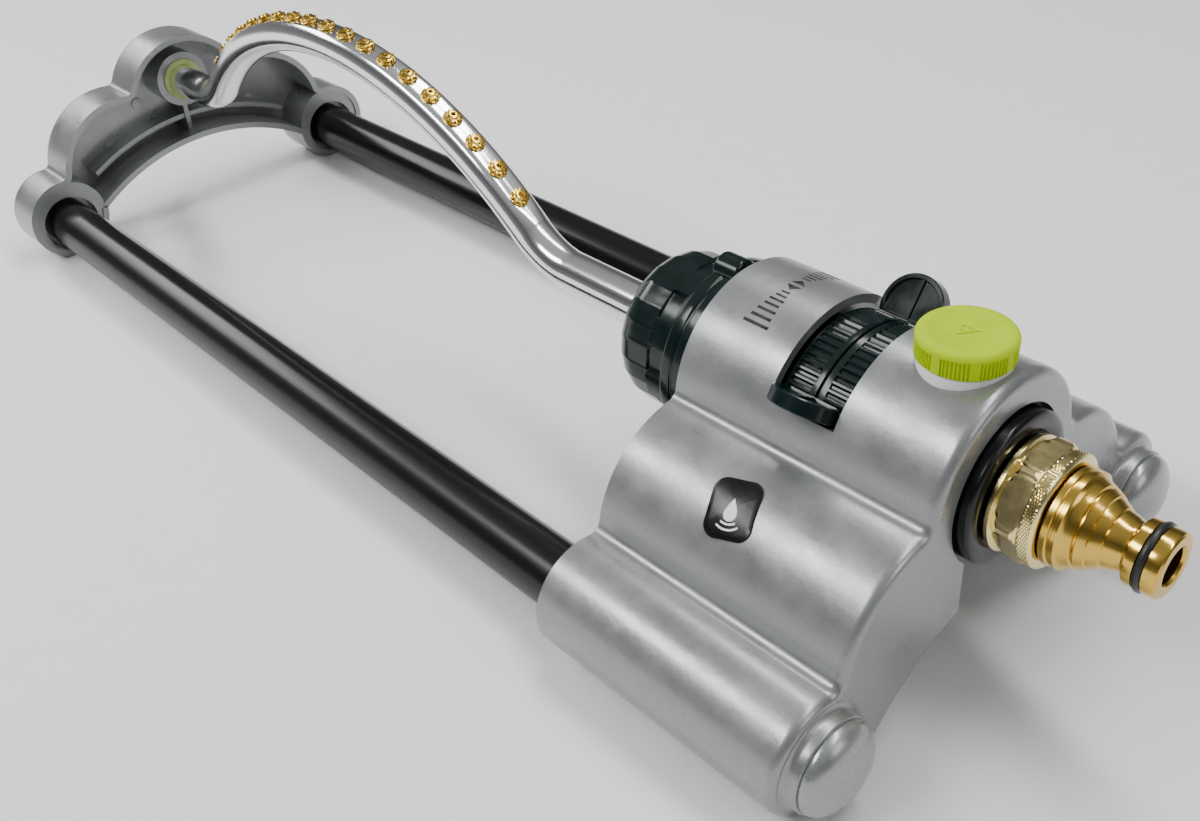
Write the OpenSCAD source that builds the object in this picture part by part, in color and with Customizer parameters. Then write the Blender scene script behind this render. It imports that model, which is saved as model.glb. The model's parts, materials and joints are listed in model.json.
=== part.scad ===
// Oscillating lawn sprinkler: two cast end pieces joined by two rails, a curved spray tube
// that swings between them, and a water motor with a hose connector in the larger casting.
// X runs from the foot to the hose, Y across the rails, Z up; z = 0 is the ground.

/* [Frame] */
// Length from the foot's outer face to the housing's front face
frame_length = 426.5; // [360:0.5:540]
// Distance between the two rail axes
rail_spacing = 130; // [108:1:160]
// Outer diameter of a rail tube
rail_d = 19; // [15:0.5:23]
// Wall of a rail tube
rail_wall = 1; // [0.8:0.1:2]
// Height of the spray axis above the ground
pivot_height = 56.5; // [50:0.5:68]
// How far a rail's axis sits below the centre of its lobe
rail_drop = 2.5; // [0:0.1:3]
// Depth of the flat pad ground on each lobe where it stands on the ground
pad_depth = 0.4; // [0.1:0.1:1]
// Radial clearance between a rail and its socket
rail_clearance = 0.05; // [0.02:0.01:0.3]

/* [Housing] */
// Length of the housing along the rails
housing_length = 80; // [77:1:100]
// Wall of the housing casting
housing_wall = 2.5; // [1.5:0.1:3]
// Length of each rail socket at the housing's rear edge
socket_length = 24; // [12:1:34]
// Thickness of the housing's front wall
front_wall = 3; // [2:0.5:5]
// Free room between the range rings and the arch's inner face
arch_room = 0.9; // [0.6:0.1:3]
// Radius of each shoulder lobe
shoulder_r = 30.5; // [26:0.5:37]
// Casting left between a rail and the outside of its lobe
lobe_margin = 7; // [6:0.5:10]
// How far a shoulder lobe and a rail lobe run into each other
shoulder_bite = 10; // [7:0.5:13]
// Height of the shoulder lobes' centres
shoulder_height = 28.5; // [24:0.5:34]
// Height of the underside arch at its middle
underside_rise = 27; // [20:0.5:32]
// Half the width of the underside arch at the ground
underside_half = 50; // [42:0.5:60]
// Diameter of the round hole in the front wall
inlet_hole_d = 42; // [38:0.5:48]
// Width of the slot below the round hole
inlet_slot_w = 28; // [20:0.5:34]
// Length of the adjusting window along the rails
window_length = 20; // [18:0.5:24]
// Distance from the housing's rear edge to the window
window_start = 29; // [26:0.5:33]
// Angle from the top to each end of the window
window_half_angle = 62; // [50:1:66]
// Length of the round nose that carries each end cap
nose_length = 3.8; // [2:0.2:8]
// How far the round nose stands out around the rail's radius
nose_margin = 3.5; // [3.2:0.1:5]

/* [End caps] */
// Height of the domed cap
cap_height = 6.5; // [4:0.5:12]
// How far the cap stays inside the nose's edge
cap_step = 0.6; // [0.2:0.1:1.5]
// Length of the plug inside the rail
cap_plug_length = 14; // [8:1:24]
// Radial clearance of the plug in the rail
cap_clearance = 0.05; // [0.02:0.01:0.2]

/* [Foot] */
// Depth of the foot casting along the rails
foot_depth = 20.5; // [16:0.5:30]
// Wall of the foot casting
foot_wall = 2.5; // [1.5:0.1:3.5]
// Radius of the foot's central lobe
foot_top_r = 27; // [24:0.5:32]
// How far the foot's central lobe sits below the spray axis
foot_top_drop = 8; // [4:0.5:12]
// Radius of the foot's shoulder lobes
foot_shoulder_r = 30; // [26:0.5:36]
// How far a shoulder and a rail lobe of the foot run into each other
foot_bite = 13.5; // [9:0.5:17]
// Height of the foot's underside arch at its middle
foot_rise = 30; // [24:0.5:34]
// Half the width of the foot's underside arch where it meets the rail lobes
foot_arch_half = 50; // [42:0.5:60]
// Height of that meeting point
foot_arch_spring = 14; // [8:0.5:18]
// Wall of the boss that holds the pivot bush
pivot_boss_wall = 3; // [2:0.5:6]
// Width of the open gap around each rail at its mouth
mouth_gap = 2.1; // [1:0.1:2.5]

/* [Spray tube] */
// Outer diameter of the spray tube
tube_d = 12.7; // [11:0.1:14]
// Wall of the spray tube
tube_wall = 1; // [0.8:0.1:1.5]
// Half the length of the raised curve as a share of the free length between the castings
reach_share = 0.362; // [0.3:0.001:0.4]
// Rise of the curve above the spray axis as a share of half its length
rise_share = 0.407; // [0.34:0.001:0.44]
// Radius of the main curve as a share of half its length
curve_share = 1.186; // [1.1:0.001:1.25]
// Place of the curve's middle as a share of the free length, from the housing
middle_share = 0.58; // [0.54:0.005:0.6]
// Depth of the flat that carries the nozzles
flat_depth = 1.05; // [0.7:0.05:1.4]
// Angle by which the tube leans to the near side at rest
tube_lean = 4; // [0:1:30]

/* [Nozzles] */
// Angle left free at each end of the main curve, beyond the last nozzle
nozzle_margin = 3.8; // [2:0.1:8]
// Diameter of a nozzle's stem
nozzle_stem_d = 4; // [3:0.1:4.6]
// Diameter of a nozzle's head
nozzle_head_d = 6.4; // [5.5:0.1:7.5]
// Height of a nozzle's head
nozzle_head_h = 2.2; // [1.5:0.1:3.5]
// Diameter of the jet
jet_d = 0.9; // [0.6:0.1:1.4]
// Radial clearance of a stem in the tube
stem_clearance = 0.05; // [0.02:0.01:0.15]

/* [Motor] */
// Outer radius of the motor barrel
barrel_r = 21; // [19:0.2:26]
// Wall of the motor barrel
barrel_wall = 2; // [1.5:0.1:2.5]
// Gap between the motor's rear flange and the housing's arch
flange_gap = 0.5; // [0.3:0.1:2]
// Length of the flange that shows behind the housing
flange_show = 10; // [7:0.5:12]
// How far the notched collar stays inside the flange
collar_step = 2; // [1:0.1:4]
// Length of the notched collar
collar_length = 7; // [5:0.5:9]
// Number of notches in the collar
collar_notches = 16; // [8:1:24]
// How far the nose boot stays inside the collar
boot_step = 1.5; // [0.5:0.1:3]
// Length of the nose boot
boot_length = 16; // [12:0.5:20]
// Wall of the output hub around the tube
hub_wall = 3.05; // [2.6:0.05:4]
// Running clearance of turning fits
running = 0.06; // [0.02:0.01:0.09]

/* [Gears] */
// Free room between the lay wheel's teeth and the barrel; it sets the gears' module
gear_room = 1.1; // [0.6:0.1:2]
// Teeth of each pinion
pinion_teeth = 10; // [9:1:12]
// Teeth of each wheel
wheel_teeth = 24; // [20:1:29]
// Face width of each gear
gear_face = 4; // [3:0.5:5]
// Extra centre distance between meshing gears
mesh_gap = 0.1; // [0.05:0.05:0.3]
// Radius of the steel shafts
shaft_r = 1.5; // [1.2:0.1:1.8]
// Free room between the water wheel's blades and the barrel
blade_room = 3; // [1:0.5:5]
// Number of water-wheel blades
turbine_blades = 12; // [8:1:16]

/* [Range rings] */
// Thickness of a range ring
ring_t = 4.3; // [3:0.1:5.5]
// Free gap between the parts that turn past each other
ring_gap = 0.3; // [0.2:0.05:0.5]
// Radius of the round paddle on a ring
paddle_r = 8.8; // [7:0.1:10]
// Thickness of a paddle
paddle_t = 4; // [2.5:0.5:5]
// Angle of the near paddle from the top at rest
near_angle = 56; // [40:1:56]
// Angle of the far paddle from the top at rest
far_angle = 37; // [20:1:55]

/* [Flow knob] */
// Radius of the knob
knob_r = 11.7; // [10:0.1:13]
// Height of the knob
knob_h = 6.6; // [5:0.2:10]
// Distance of the knob's axis from the housing's front face
knob_setback = 14.6; // [13.5:0.1:17]
// Number of grip ribs around the knob
knob_ribs = 48; // [24:1:60]
// Height by which the seat ring stands above the arch
seat_h = 0.8; // [0.5:0.1:2]
// Radius of the valve spindle
spindle_r = 3; // [2.5:0.1:4]

/* [Hose inlet] */
// Gap between the black flange and the round hole in the front wall
inlet_gap = 1.1; // [0.3:0.1:2]
// How far the flange stands out of the front wall
inlet_flange_show = 2; // [1:0.5:4]
// Radius of the threaded spigot
spigot_r = 12.6; // [11.5:0.1:13]
// Length of the threaded spigot
spigot_length = 9; // [7:0.5:12]
// Hexagon size of the hose nut across flats
nut_flats = 27; // [26.6:0.1:30]
// Length of the hose nut
nut_length = 12; // [11:0.5:14]
// Distance from the housing's front face to the connector's tip
connector_reach = 41.5; // [40:0.5:50]
// Radius of the connector's barrel
connector_r = 8.1; // [7.5:0.1:8.5]
// Radius of the water way
bore_r = 4.6; // [3.5:0.1:5]

/* [Hidden] */
$fn = 64;
FINE = 96;
EPS = 0.01;
NOZZLES = [for (i = [1:19]) str("nozzle_", i < 10 ? "0" : "", i)];
nozzle_count = len(NOZZLES);

// Stations along the object
foot_back = -(frame_length + connector_reach) / 2;
foot_front = foot_back + foot_depth;
housing_front = foot_back + frame_length;
housing_back = housing_front - housing_length;
window_back = housing_back + window_start;
window_front = window_back + window_length;
free_length = housing_back - foot_front;
curve_x = housing_back - middle_share * free_length;

// Frame
fill_drop = 8;
rail_y = rail_spacing / 2;
rail_r = rail_d / 2;
rail_bore = rail_r - rail_wall;
lobe_r = rail_r + lobe_margin;
socket_r = lobe_r - 1.2;
nose_r = rail_r + nose_margin;
cap_r = nose_r - cap_step;
mouth_depth = 6;
mouth_r = rail_r + mouth_gap;
socket_bore = rail_r + rail_clearance;
rail_start = foot_back + foot_wall;
rail_end = housing_front - front_wall;
lobe_z = lobe_r - pad_depth;
rail_z = lobe_z - rail_drop;
shoulder_y = rail_y - lobe_r - shoulder_r + shoulder_bite;
foot_shoulder_y = rail_y - lobe_r - foot_shoulder_r + foot_bite;
foot_top_z = pivot_height - foot_top_drop;
foot_shoulder_z = shoulder_height;

// Spray tube: a bend, the main curve and a bend, tangent to each other
tube_r = tube_d / 2;
tube_flat = tube_r - flat_depth;
tube_reach = reach_share * free_length;
tube_rise = rise_share * tube_reach;
tube_curve_r = curve_share * tube_reach;
bend_r = tube_reach * tube_reach / (2 * tube_rise) + tube_rise / 2 - tube_curve_r;
bend_angle = asin(tube_reach / (tube_curve_r + bend_r));
curve_z = tube_rise - tube_curve_r;
seam_gap = 0.1;
nozzle_first = nozzle_margin - bend_angle;
nozzle_step = -2 * nozzle_first / (nozzle_count - 1);
tube_fit_r = tube_r + running;
bush_wall = 2.1;
bush_r = tube_fit_r + bush_wall;
pivot_boss_r = bush_r + pivot_boss_wall;

// Motor stations, counted forward from the rear of the nose boot
flange_back = housing_back - flange_show;
collar_back = flange_back - collar_length;
boot_back = collar_back - boot_length;
hub_front = flange_back + 15.5;
tube_end = flange_back + 9.5;
tube_far = foot_back + foot_wall + 3;
flange_front = housing_back + 3;
flange_spigot = 2.2;
hub_seat = 6;
journal_r = tube_r + hub_wall;
barrel_inner = barrel_r - barrel_wall;
tooth_tip = 0.8;
gear_reach = barrel_inner - gear_room;
gear_module = gear_reach / (pinion_teeth / 2 + wheel_teeth + tooth_tip);
mesh_distance = gear_module * (pinion_teeth + wheel_teeth) / 2 + mesh_gap;
output_gear_x = hub_front + 0.5;
lay_wheel_x = output_gear_x + gear_face + 2.5;
turbine_plate_x = lay_wheel_x + gear_face + 2;
plate_t = 2.5;
wheel_x = turbine_plate_x + plate_t + 1;
wheel_length = 8;
turbine_r = barrel_inner - blade_room;
jet_plate_x = wheel_x + wheel_length + 1;
barrel_front = window_front + 2.5;
lay_pin_r = shaft_r - 0.2;
lay_z = pivot_height - mesh_distance;

// Arch and range rings, each clear of the one inside it
ring_inner = barrel_r + ring_gap;
ring_r = ring_inner + ring_t;
arch_r = ring_r + arch_room + housing_wall;
flange_r = arch_r - housing_wall - flange_gap;
collar_r = flange_r - collar_step;
boot_r = collar_r - boot_step;
ring_width = (window_length - ring_gap * 3) / 2;
near_ring_x = window_back + ring_gap;
far_ring_x = near_ring_x + ring_width + ring_gap;
paddle_centre_r = arch_r + 0.2;
rib_count = 72;

// Screws that hold the inlet body's ears to bosses behind the front wall
screw_r = 1.5;
boss_r = 3.2;
boss_length = 5;
ear_t = 3;
ear_reach = inlet_hole_d / 2 + boss_r - 1;
ear_z = pivot_height - 8;

// Inlet
ear_x = housing_front - front_wall - boss_length - ring_gap - ear_t / 2;
inlet_body_back = barrel_front;
inlet_plug = 2;
inlet_body_r = 17;
inlet_flange_r = inlet_hole_d / 2 - inlet_gap;
inlet_front = housing_front + inlet_flange_show;
nut_back = inlet_front + 1.5;
nut_front = nut_back + nut_length;
nut_collar_t = 1.6;
washer_t = 1.5;
spigot_front = inlet_front + spigot_length;
thread_clearance = 0.08;
connector_tip = housing_front + connector_reach;
tail_back = spigot_front + washer_t;
knob_x = housing_front - knob_setback;
arch_top = pivot_height + arch_r;
seat_top = arch_top + seat_h;
knob_bottom = seat_top + 0.3;
knob_top = knob_bottom + knob_h;
spindle_hole_r = spindle_r + running;
snug = 0.02;

// Reversing flap and seals
flap_pin_r = 1.6;
flap_x = jet_plate_x + plate_t + 0.8;
flap_front = inlet_body_back - inlet_plug - ring_gap;
flap_z = pivot_height + 13;
seal_section = 0.8;
seal_x = flange_back + 6;
tube_seal_section = 0.6;
tube_seal_x = collar_back + 3;

// ---------------------------------------------------------------- helpers

// Places its children on the spray axis at a station x, with their Z along +X.
module on_axis(x) {
    translate([x, 0, pivot_height]) rotate([0, 90, 0]) children();
}

// Extrudes an outline drawn in Y and Z along +X, starting at x.
module along_x(x, length) {
    translate([x, 0, 0]) rotate([90, 0, 90]) linear_extrude(length) children();
}

// Rod along +X.
module rod_x(x, length, r, y = 0, z = 0) {
    translate([x, y, z]) rotate([0, 90, 0]) cylinder(r = r, h = length, $fn = FINE);
}

// Leans its children with the spray tube about the spray axis.
module leaned() {
    translate([0, 0, pivot_height]) rotate([tube_lean, 0, 0]) translate([0, 0, -pivot_height])
        children();
}

// Ring drawn on the axis.
module ring(x, length, outer, inner) {
    on_axis(x) linear_extrude(length) difference() {
        circle(r = outer, $fn = FINE);
        circle(r = inner, $fn = FINE);
    }
}

// ---------------------------------------------------------------- castings

// Outline of the housing across the rails, drawn inward by inset.
module housing_outline(inset = 0) {
    fill_z = shoulder_height - fill_drop;
    translate([0, pivot_height]) circle(r = arch_r - inset, $fn = FINE);
    translate([inset - shoulder_y, fill_z])
        square([2 * (shoulder_y - inset), pivot_height - inset - fill_z]);
    for (side = [-1, 1]) {
        translate([side * shoulder_y, shoulder_height]) circle(r = shoulder_r - inset, $fn = FINE);
        translate([side * rail_y, lobe_z]) circle(r = lobe_r - inset, $fn = FINE);
    }
}

// Circle through the arch's crown and its two feet.
module arch_void(half, rise, spring) {
    sagitta = rise - spring;
    r = (half * half + sagitta * sagitta) / (2 * sagitta);
    translate([0, rise - r]) circle(r = r, $fn = 180);
}

module underside_void() {
    arch_void(underside_half, underside_rise, 0);
}

// Sector of the arch that the adjusting window opens.
module window_cut() {
    reach = arch_r * 2;
    translate([window_back, 0, pivot_height]) rotate([90, 0, 90]) linear_extrude(window_length)
        polygon([
            [0, 0],
            [-reach * sin(window_half_angle), reach * cos(window_half_angle)],
            [-reach * sin(window_half_angle), reach],
            [reach * sin(window_half_angle), reach],
            [reach * sin(window_half_angle), reach * cos(window_half_angle)]
        ]);
}

// A round rod on each lobe's centre, or on each rail's axis when z is given.
module rail_sockets(x, length, r, z = lobe_z) {
    for (side = [-1, 1]) rod_x(x, length, r, side * rail_y, z);
}

// Everything below the ground, which cuts the flat pads.
module below_ground() {
    translate([foot_back - 1, -rail_spacing, -lobe_r])
        cube([frame_length + nose_length + 2, 2 * rail_spacing, lobe_r]);
}

module motor_housing() {
    color("silver") difference() {
        union() {
            difference() {
                along_x(housing_back, housing_length) difference() {
                    housing_outline();
                    underside_void();
                }
                along_x(housing_back - 1, housing_length + 1 - front_wall) housing_outline(housing_wall);
            }
            rail_sockets(housing_back, socket_length, socket_r);
            rail_sockets(rail_end - socket_length / 2, socket_length / 2 + EPS, socket_r);
            rail_sockets(housing_front - EPS, nose_length + EPS, nose_r);
            screw_places() translate([0, 0, -boss_length]) cylinder(r = boss_r, h = boss_length + EPS);
        }
        rail_sockets(housing_back - 1, rail_end - housing_back + 1, socket_bore, rail_z);
        rail_sockets(housing_back - 1, mouth_depth + 1, mouth_r, rail_z);
        rail_sockets(housing_front - front_wall - 1, front_wall + nose_length + 2, rail_bore, rail_z);
        below_ground();
        window_cut();
        on_axis(housing_front - front_wall - 1)
            cylinder(r = inlet_hole_d / 2, h = front_wall + 2, $fn = FINE);
        translate([housing_front - front_wall - 1, -inlet_slot_w / 2, 0])
            cube([front_wall + 2, inlet_slot_w, pivot_height]);
        translate([knob_x, 0, pivot_height]) cylinder(r = spindle_hole_r + 0.4, h = arch_r + 2);
        screw_places() translate([0, 0, -boss_length - 1]) cylinder(r = screw_r + snug, h = boss_length + 2);
    }
}

// Outline of the foot across the rails, drawn inward by inset.
module foot_outline(inset = 0) {
    translate([0, foot_top_z]) circle(r = foot_top_r - inset, $fn = FINE);
    for (side = [-1, 1]) {
        translate([side * foot_shoulder_y, foot_shoulder_z]) circle(r = foot_shoulder_r - inset, $fn = FINE);
        translate([side * rail_y, lobe_z]) circle(r = lobe_r - inset, $fn = FINE);
    }
}

module foot_void(grow = 0) {
    sagitta = foot_rise - foot_arch_spring;
    r = (foot_arch_half * foot_arch_half + sagitta * sagitta) / (2 * sagitta);
    translate([0, foot_rise - r]) circle(r = r + grow, $fn = 180);
}

module end_foot() {
    rib_gap = 5;
    color("silver") difference() {
        union() {
            along_x(foot_back, foot_wall) difference() {
                foot_outline();
                foot_void();
            }
            along_x(foot_back, foot_depth) difference() {
                foot_outline();
                foot_void();
                difference() {
                    foot_outline(foot_wall);
                    foot_void(foot_wall);
                }
            }
            along_x(foot_back, foot_depth * 0.55) intersection() {
                difference() {
                    foot_void(foot_wall + rib_gap + 2);
                    foot_void(foot_wall + rib_gap);
                }
                foot_outline(foot_wall / 2);
            }
            translate([foot_back, -1, foot_rise])
                cube([foot_depth * 0.55, 2, pivot_height - foot_rise]);
            rod_x(foot_back, foot_depth - 3, pivot_boss_r, 0, pivot_height);
            rail_sockets(foot_back, foot_depth, socket_r);
        }
        rail_sockets(rail_start, foot_depth + 2, socket_bore, rail_z);
        rail_sockets(foot_front - mouth_depth, mouth_depth + 1, mouth_r, rail_z);
        rod_x(foot_back + foot_wall, foot_depth, bush_r, 0, pivot_height);
        below_ground();
    }
}

// Domed cap on the housing's nose, with a plug that runs into the end of the rail.
module end_cap(side) {
    dome_r = (cap_r * cap_r + cap_height * cap_height) / (2 * cap_height);
    cap_x = housing_front + nose_length;
    plug_r = rail_bore - cap_clearance;
    color("silver") {
        translate([cap_x, side * rail_y, lobe_z]) rotate([0, 90, 0]) intersection() {
            translate([0, 0, cap_height - dome_r]) sphere(r = dome_r, $fn = FINE);
            cylinder(r = cap_r, h = cap_height + 1, $fn = FINE);
        }
        rod_x(cap_x - cap_plug_length, cap_plug_length + EPS, plug_r, side * rail_y, rail_z);
    }
}

module rail(side) {
    color("black") translate([rail_start, side * rail_y, rail_z]) rotate([0, 90, 0])
        linear_extrude(rail_end - rail_start) difference() {
            circle(r = rail_r, $fn = FINE);
            circle(r = rail_bore, $fn = FINE);
        }
}

module pivot_bush() {
    color("dimgray") ring(foot_back + foot_wall, foot_depth - 4.5, bush_r, tube_fit_r);
}

// ---------------------------------------------------------------- spray tube

// Angle by which a run of the given radius stops short of its seam.
function seam_angle(r) = seam_gap * 90 / (PI * r);

// Turns a profile about a bend's centre in the XZ plane; the profile's X points away from it.
module bend(x, z, start, sweep) {
    translate([x, 0, pivot_height + z]) rotate([90, 0, 0]) rotate([0, 0, start])
        rotate_extrude(angle = sweep, $fn = 180) children();
}

// Plain round bend of the tube's wall between a straight leg and the main curve.
module tube_bend(side) {
    short = seam_angle(bend_r);
    start = (side > 0 ? 270 - bend_angle : 270) + short;
    sweep = bend_angle - 2 * short;
    difference() {
        bend(curve_x + side * tube_reach, bend_r, start, sweep)
            translate([bend_r, 0]) circle(r = tube_r, $fn = 48);
        bend(curve_x + side * tube_reach, bend_r, start, sweep)
            translate([bend_r, 0]) circle(r = tube_r - tube_wall, $fn = 48);
    }
}

// Solid of the main curve with a flat along its outer side.
module flatted_curve(r, flat) {
    half = bend_angle - seam_angle(tube_curve_r);
    difference() {
        bend(curve_x, curve_z, 90 - half, 2 * half)
            translate([tube_curve_r, 0]) circle(r = r, $fn = 48);
        bend(curve_x, curve_z, 89 - bend_angle, 2 * bend_angle + 2)
            translate([tube_curve_r + flat, -tube_d]) square([tube_d, 2 * tube_d]);
    }
}

// Main curve with its row of nozzle holes.
module tube_curve() {
    difference() {
        flatted_curve(tube_r, tube_flat);
        flatted_curve(tube_r - tube_wall, tube_flat - tube_wall);
        for (i = [0:nozzle_count - 1]) on_curve(nozzle_first + i * nozzle_step, 0)
            cylinder(r = nozzle_stem_d / 2 + stem_clearance, h = tube_d);
    }
}

module tube_straight(x0, x1) {
    translate([x0, 0, pivot_height]) rotate([0, 90, 0]) linear_extrude(x1 - x0) difference() {
        circle(r = tube_r, $fn = 48);
        circle(r = tube_r - tube_wall, $fn = 48);
    }
}

// Hair-thin seam that carries one run of the tube into the next over a small gap. A seam lies
// at a point of the tube's centre line, given from the middle of the curve, square to its slope.
module seam(x, z, slope, bore) {
    raise = 0.02;
    width = 0.5;
    translate([curve_x + x, 0, pivot_height + z]) rotate([0, 90 + slope, 0]) difference() {
        cylinder(r = tube_r + raise, h = width, center = true, $fn = 48);
        cylinder(r = bore - raise, h = width + 1, center = true, $fn = 48);
    }
}

module curve_seam(side) {
    seam(side * tube_curve_r * sin(bend_angle), curve_z + tube_curve_r * cos(bend_angle), side * bend_angle,
        tube_flat - tube_wall);
}

// Places its children at an angle on the main curve, with Z pointing away from its centre.
module on_curve(angle, height) {
    translate([curve_x, 0, pivot_height + curve_z]) rotate([0, angle, 0])
        translate([0, 0, tube_curve_r + height]) children();
}

// The runs are joined one after another from the foot to the motor.
module spray_tube() {
    color("lightgray") leaned() union() {
        union() {
            union() {
                union() {
                    union() {
                        tube_curve();
                        curve_seam(-1);
                        curve_seam(1);
                    }
                    tube_bend(-1);
                }
                tube_bend(1);
            }
            seam(-tube_reach, 0, 0, tube_r - tube_wall);
            seam(tube_reach, 0, 0, tube_r - tube_wall);
        }
        tube_straight(tube_far, curve_x - tube_reach - seam_gap / 2);
        tube_straight(curve_x + tube_reach + seam_gap / 2, tube_end);
    }
}

module nozzle(index) {
    stem = 2.2;
    color("goldenrod") leaned() on_curve(nozzle_first + (index - 1) * nozzle_step, tube_flat)
        difference() {
            union() {
                translate([0, 0, -stem]) cylinder(r = nozzle_stem_d / 2, h = stem + EPS, $fn = 48);
                cylinder(r = nozzle_head_d / 2, h = nozzle_head_h * 0.65, $fn = 48);
                cylinder(r = nozzle_head_d * 0.36, h = nozzle_head_h, $fn = 48);
            }
            translate([0, 0, -stem - 1]) cylinder(r = jet_d / 2, h = stem + nozzle_head_h + 2, $fn = 24);
        }
}

module tube_end_plug() {
    plug_r = tube_r - tube_wall - stem_clearance;
    plug_length = 8;
    head = 1.5;
    color("goldenrod") {
        rod_x(tube_far - head / 2, plug_length, plug_r, 0, pivot_height);
        rod_x(tube_far - head, head, tube_r - 0.1, 0, pivot_height);
    }
}

// ---------------------------------------------------------------- motor, turning side

// Boot that covers the hub and grips the tube; its free end is rounded.
module nose_boot() {
    mouth_step = 5.5;
    round_r = 9;
    shell = 2.5;
    length = boot_length - ring_gap;
    color("darkslategray") on_axis(boot_back) rotate_extrude($fn = FINE) difference() {
        union() {
            square([boot_r - mouth_step, length]);
            translate([0, round_r]) square([boot_r, length - round_r]);
            translate([boot_r - round_r, round_r]) circle(r = round_r, $fn = 48);
            square([boot_r - round_r, round_r]);
        }
        translate([-1, -1]) square([tube_fit_r + 1, boot_length + 1]);
        translate([journal_r, round_r]) square([boot_r - shell - journal_r, boot_length]);
        translate([-1, boot_length - hub_seat]) square([journal_r + 1 + snug, boot_length]);
    }
}

// Hub with a journal in the motor flange, a seat for the tube and the output gear.
module output_hub() {
    hub_back = collar_back - hub_seat;
    journal_front = flange_front + flange_spigot - 0.5;
    neck_r = 6;
    bore = 3.2;
    color("dimgray") difference() {
        union() {
            on_axis(hub_back) cylinder(r = journal_r, h = journal_front - hub_back, $fn = FINE);
            on_axis(journal_front - 1)
                cylinder(r = neck_r, h = output_gear_x - journal_front + 2, $fn = FINE);
            gear(output_gear_x, gear_face, wheel_teeth, 0, -90);
        }
        on_axis(hub_back - 1) cylinder(r = tube_fit_r, h = tube_end - hub_back + 1, $fn = FINE);
        on_axis(hub_back) cylinder(r = bore, h = hub_front - hub_back + gear_face + 2, $fn = FINE);
        groove(seal_x, journal_r, seal_section);
        groove(tube_seal_x, tube_fit_r, tube_seal_section);
    }
}

// Square groove for a round seal, cut to both sides of the radius r.
module groove(x, r, section) {
    depth = 2 * section + 0.05;
    on_axis(x) rotate_extrude($fn = FINE) translate([r, 0]) square([2 * depth, depth + 0.05], center = true);
}

module hub_seal() {
    color("black") on_axis(seal_x) rotate_extrude($fn = FINE) translate([journal_r - seal_section, 0])
        circle(r = seal_section, $fn = 32);
}

module tube_seal() {
    color("black") on_axis(tube_seal_x) rotate_extrude($fn = FINE)
        translate([tube_r + tube_seal_section + snug, 0]) circle(r = tube_seal_section, $fn = 32);
}

// ---------------------------------------------------------------- motor, fixed side

module notched_collar() {
    notch = 2.2;
    color("darkslategray") difference() {
        ring(collar_back, collar_length, collar_r, journal_r + 0.6);
        for (i = [0:collar_notches - 1]) on_axis(collar_back - 1) rotate([0, 0, i * 360 / collar_notches])
            translate([collar_r - 1.2, -notch / 2, 0]) cube([4, notch, collar_length - 2]);
    }
}

// Flange that closes the barrel at the rear, with the hub's bearing and a top lug.
module motor_flange() {
    lug_r = 4.5;
    color("darkslategray") {
            ring(flange_back, flange_front - flange_back, flange_r, journal_r + running);
            ring(flange_front - 1, flange_spigot + 1, barrel_inner - 0.1, journal_r + running);
            translate([flange_back, 0, pivot_height + flange_r - 1]) rotate([0, 90, 0])
                cylinder(r = lug_r, h = flange_show - 1.5, $fn = 48);
    }
}

module motor_barrel() {
    color("darkslategray") ring(flange_front, barrel_front - flange_front, barrel_r, barrel_inner);
}

// Trapezoid teeth on a root circle, extruded along the spray axis or beside it.
module gear(x, face, teeth, z_off, turn) {
    pitch_r = gear_module * teeth / 2;
    root_r = pitch_r - 1.1 * gear_module;
    tip_r = pitch_r + tooth_tip * gear_module;
    root_half = 0.8 * gear_module;
    tip_half = 0.28 * gear_module;
    translate([x, 0, pivot_height + z_off]) rotate([90, 0, 90]) rotate([0, 0, turn]) {
        linear_extrude(face) {
            circle(r = root_r, $fn = 64);
            for (i = [0:teeth - 1]) rotate(i * 360 / teeth) polygon([
                [root_r - 0.4, -root_half], [root_r, -root_half], [tip_r, -tip_half],
                [tip_r, tip_half], [root_r, root_half], [root_r - 0.4, root_half]
            ]);
        }
    }
}

module turbine_plate() {
    color("gainsboro") difference() {
        ring(turbine_plate_x, plate_t, barrel_inner - 0.05, shaft_r + running);
        rod_x(turbine_plate_x - 1, plate_t, lay_pin_r + snug, 0, lay_z);
        for (a = [60:60:300]) on_axis(turbine_plate_x - 1) rotate([0, 0, a]) translate([12, 0, 0])
            cylinder(r = 2.5, h = plate_t + 2);
    }
}

module jet_plate() {
    color("gainsboro") difference() {
        ring(jet_plate_x, plate_t, barrel_inner - 0.05, shaft_r + running);
        for (side = [-1, 1]) on_axis(jet_plate_x - 1) translate([0, side * 11, 0])
            cylinder(r = 1.8, h = plate_t + 2);
        rod_x(jet_plate_x - 1, plate_t + 2, flap_pin_r + running, 0, flap_z);
    }
}

module water_wheel() {
    blade_t = 1.2;
    hub_r = 4;
    color("gainsboro") difference() {
        union() {
            on_axis(wheel_x) cylinder(r = hub_r, h = wheel_length, $fn = 48);
            for (i = [0:turbine_blades - 1]) on_axis(wheel_x) rotate([0, 0, i * 360 / turbine_blades])
                translate([hub_r - 0.6, -blade_t / 2, 0])
                    cube([turbine_r - hub_r + 0.6, blade_t, wheel_length]);
        }
        on_axis(wheel_x - 1) cylinder(r = shaft_r + snug, h = wheel_length + 2, $fn = 48);
    }
}

// Steel shaft of the water wheel with its pinion.
module turbine_shaft() {
    pinion_back = lay_wheel_x - 0.5;
    color("silver") {
        rod_x(pinion_back, jet_plate_x + plate_t - pinion_back + 0.5, shaft_r, 0, pivot_height);
        gear(pinion_back, gear_face + 1, pinion_teeth, 0, -90);
    }
}

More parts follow.
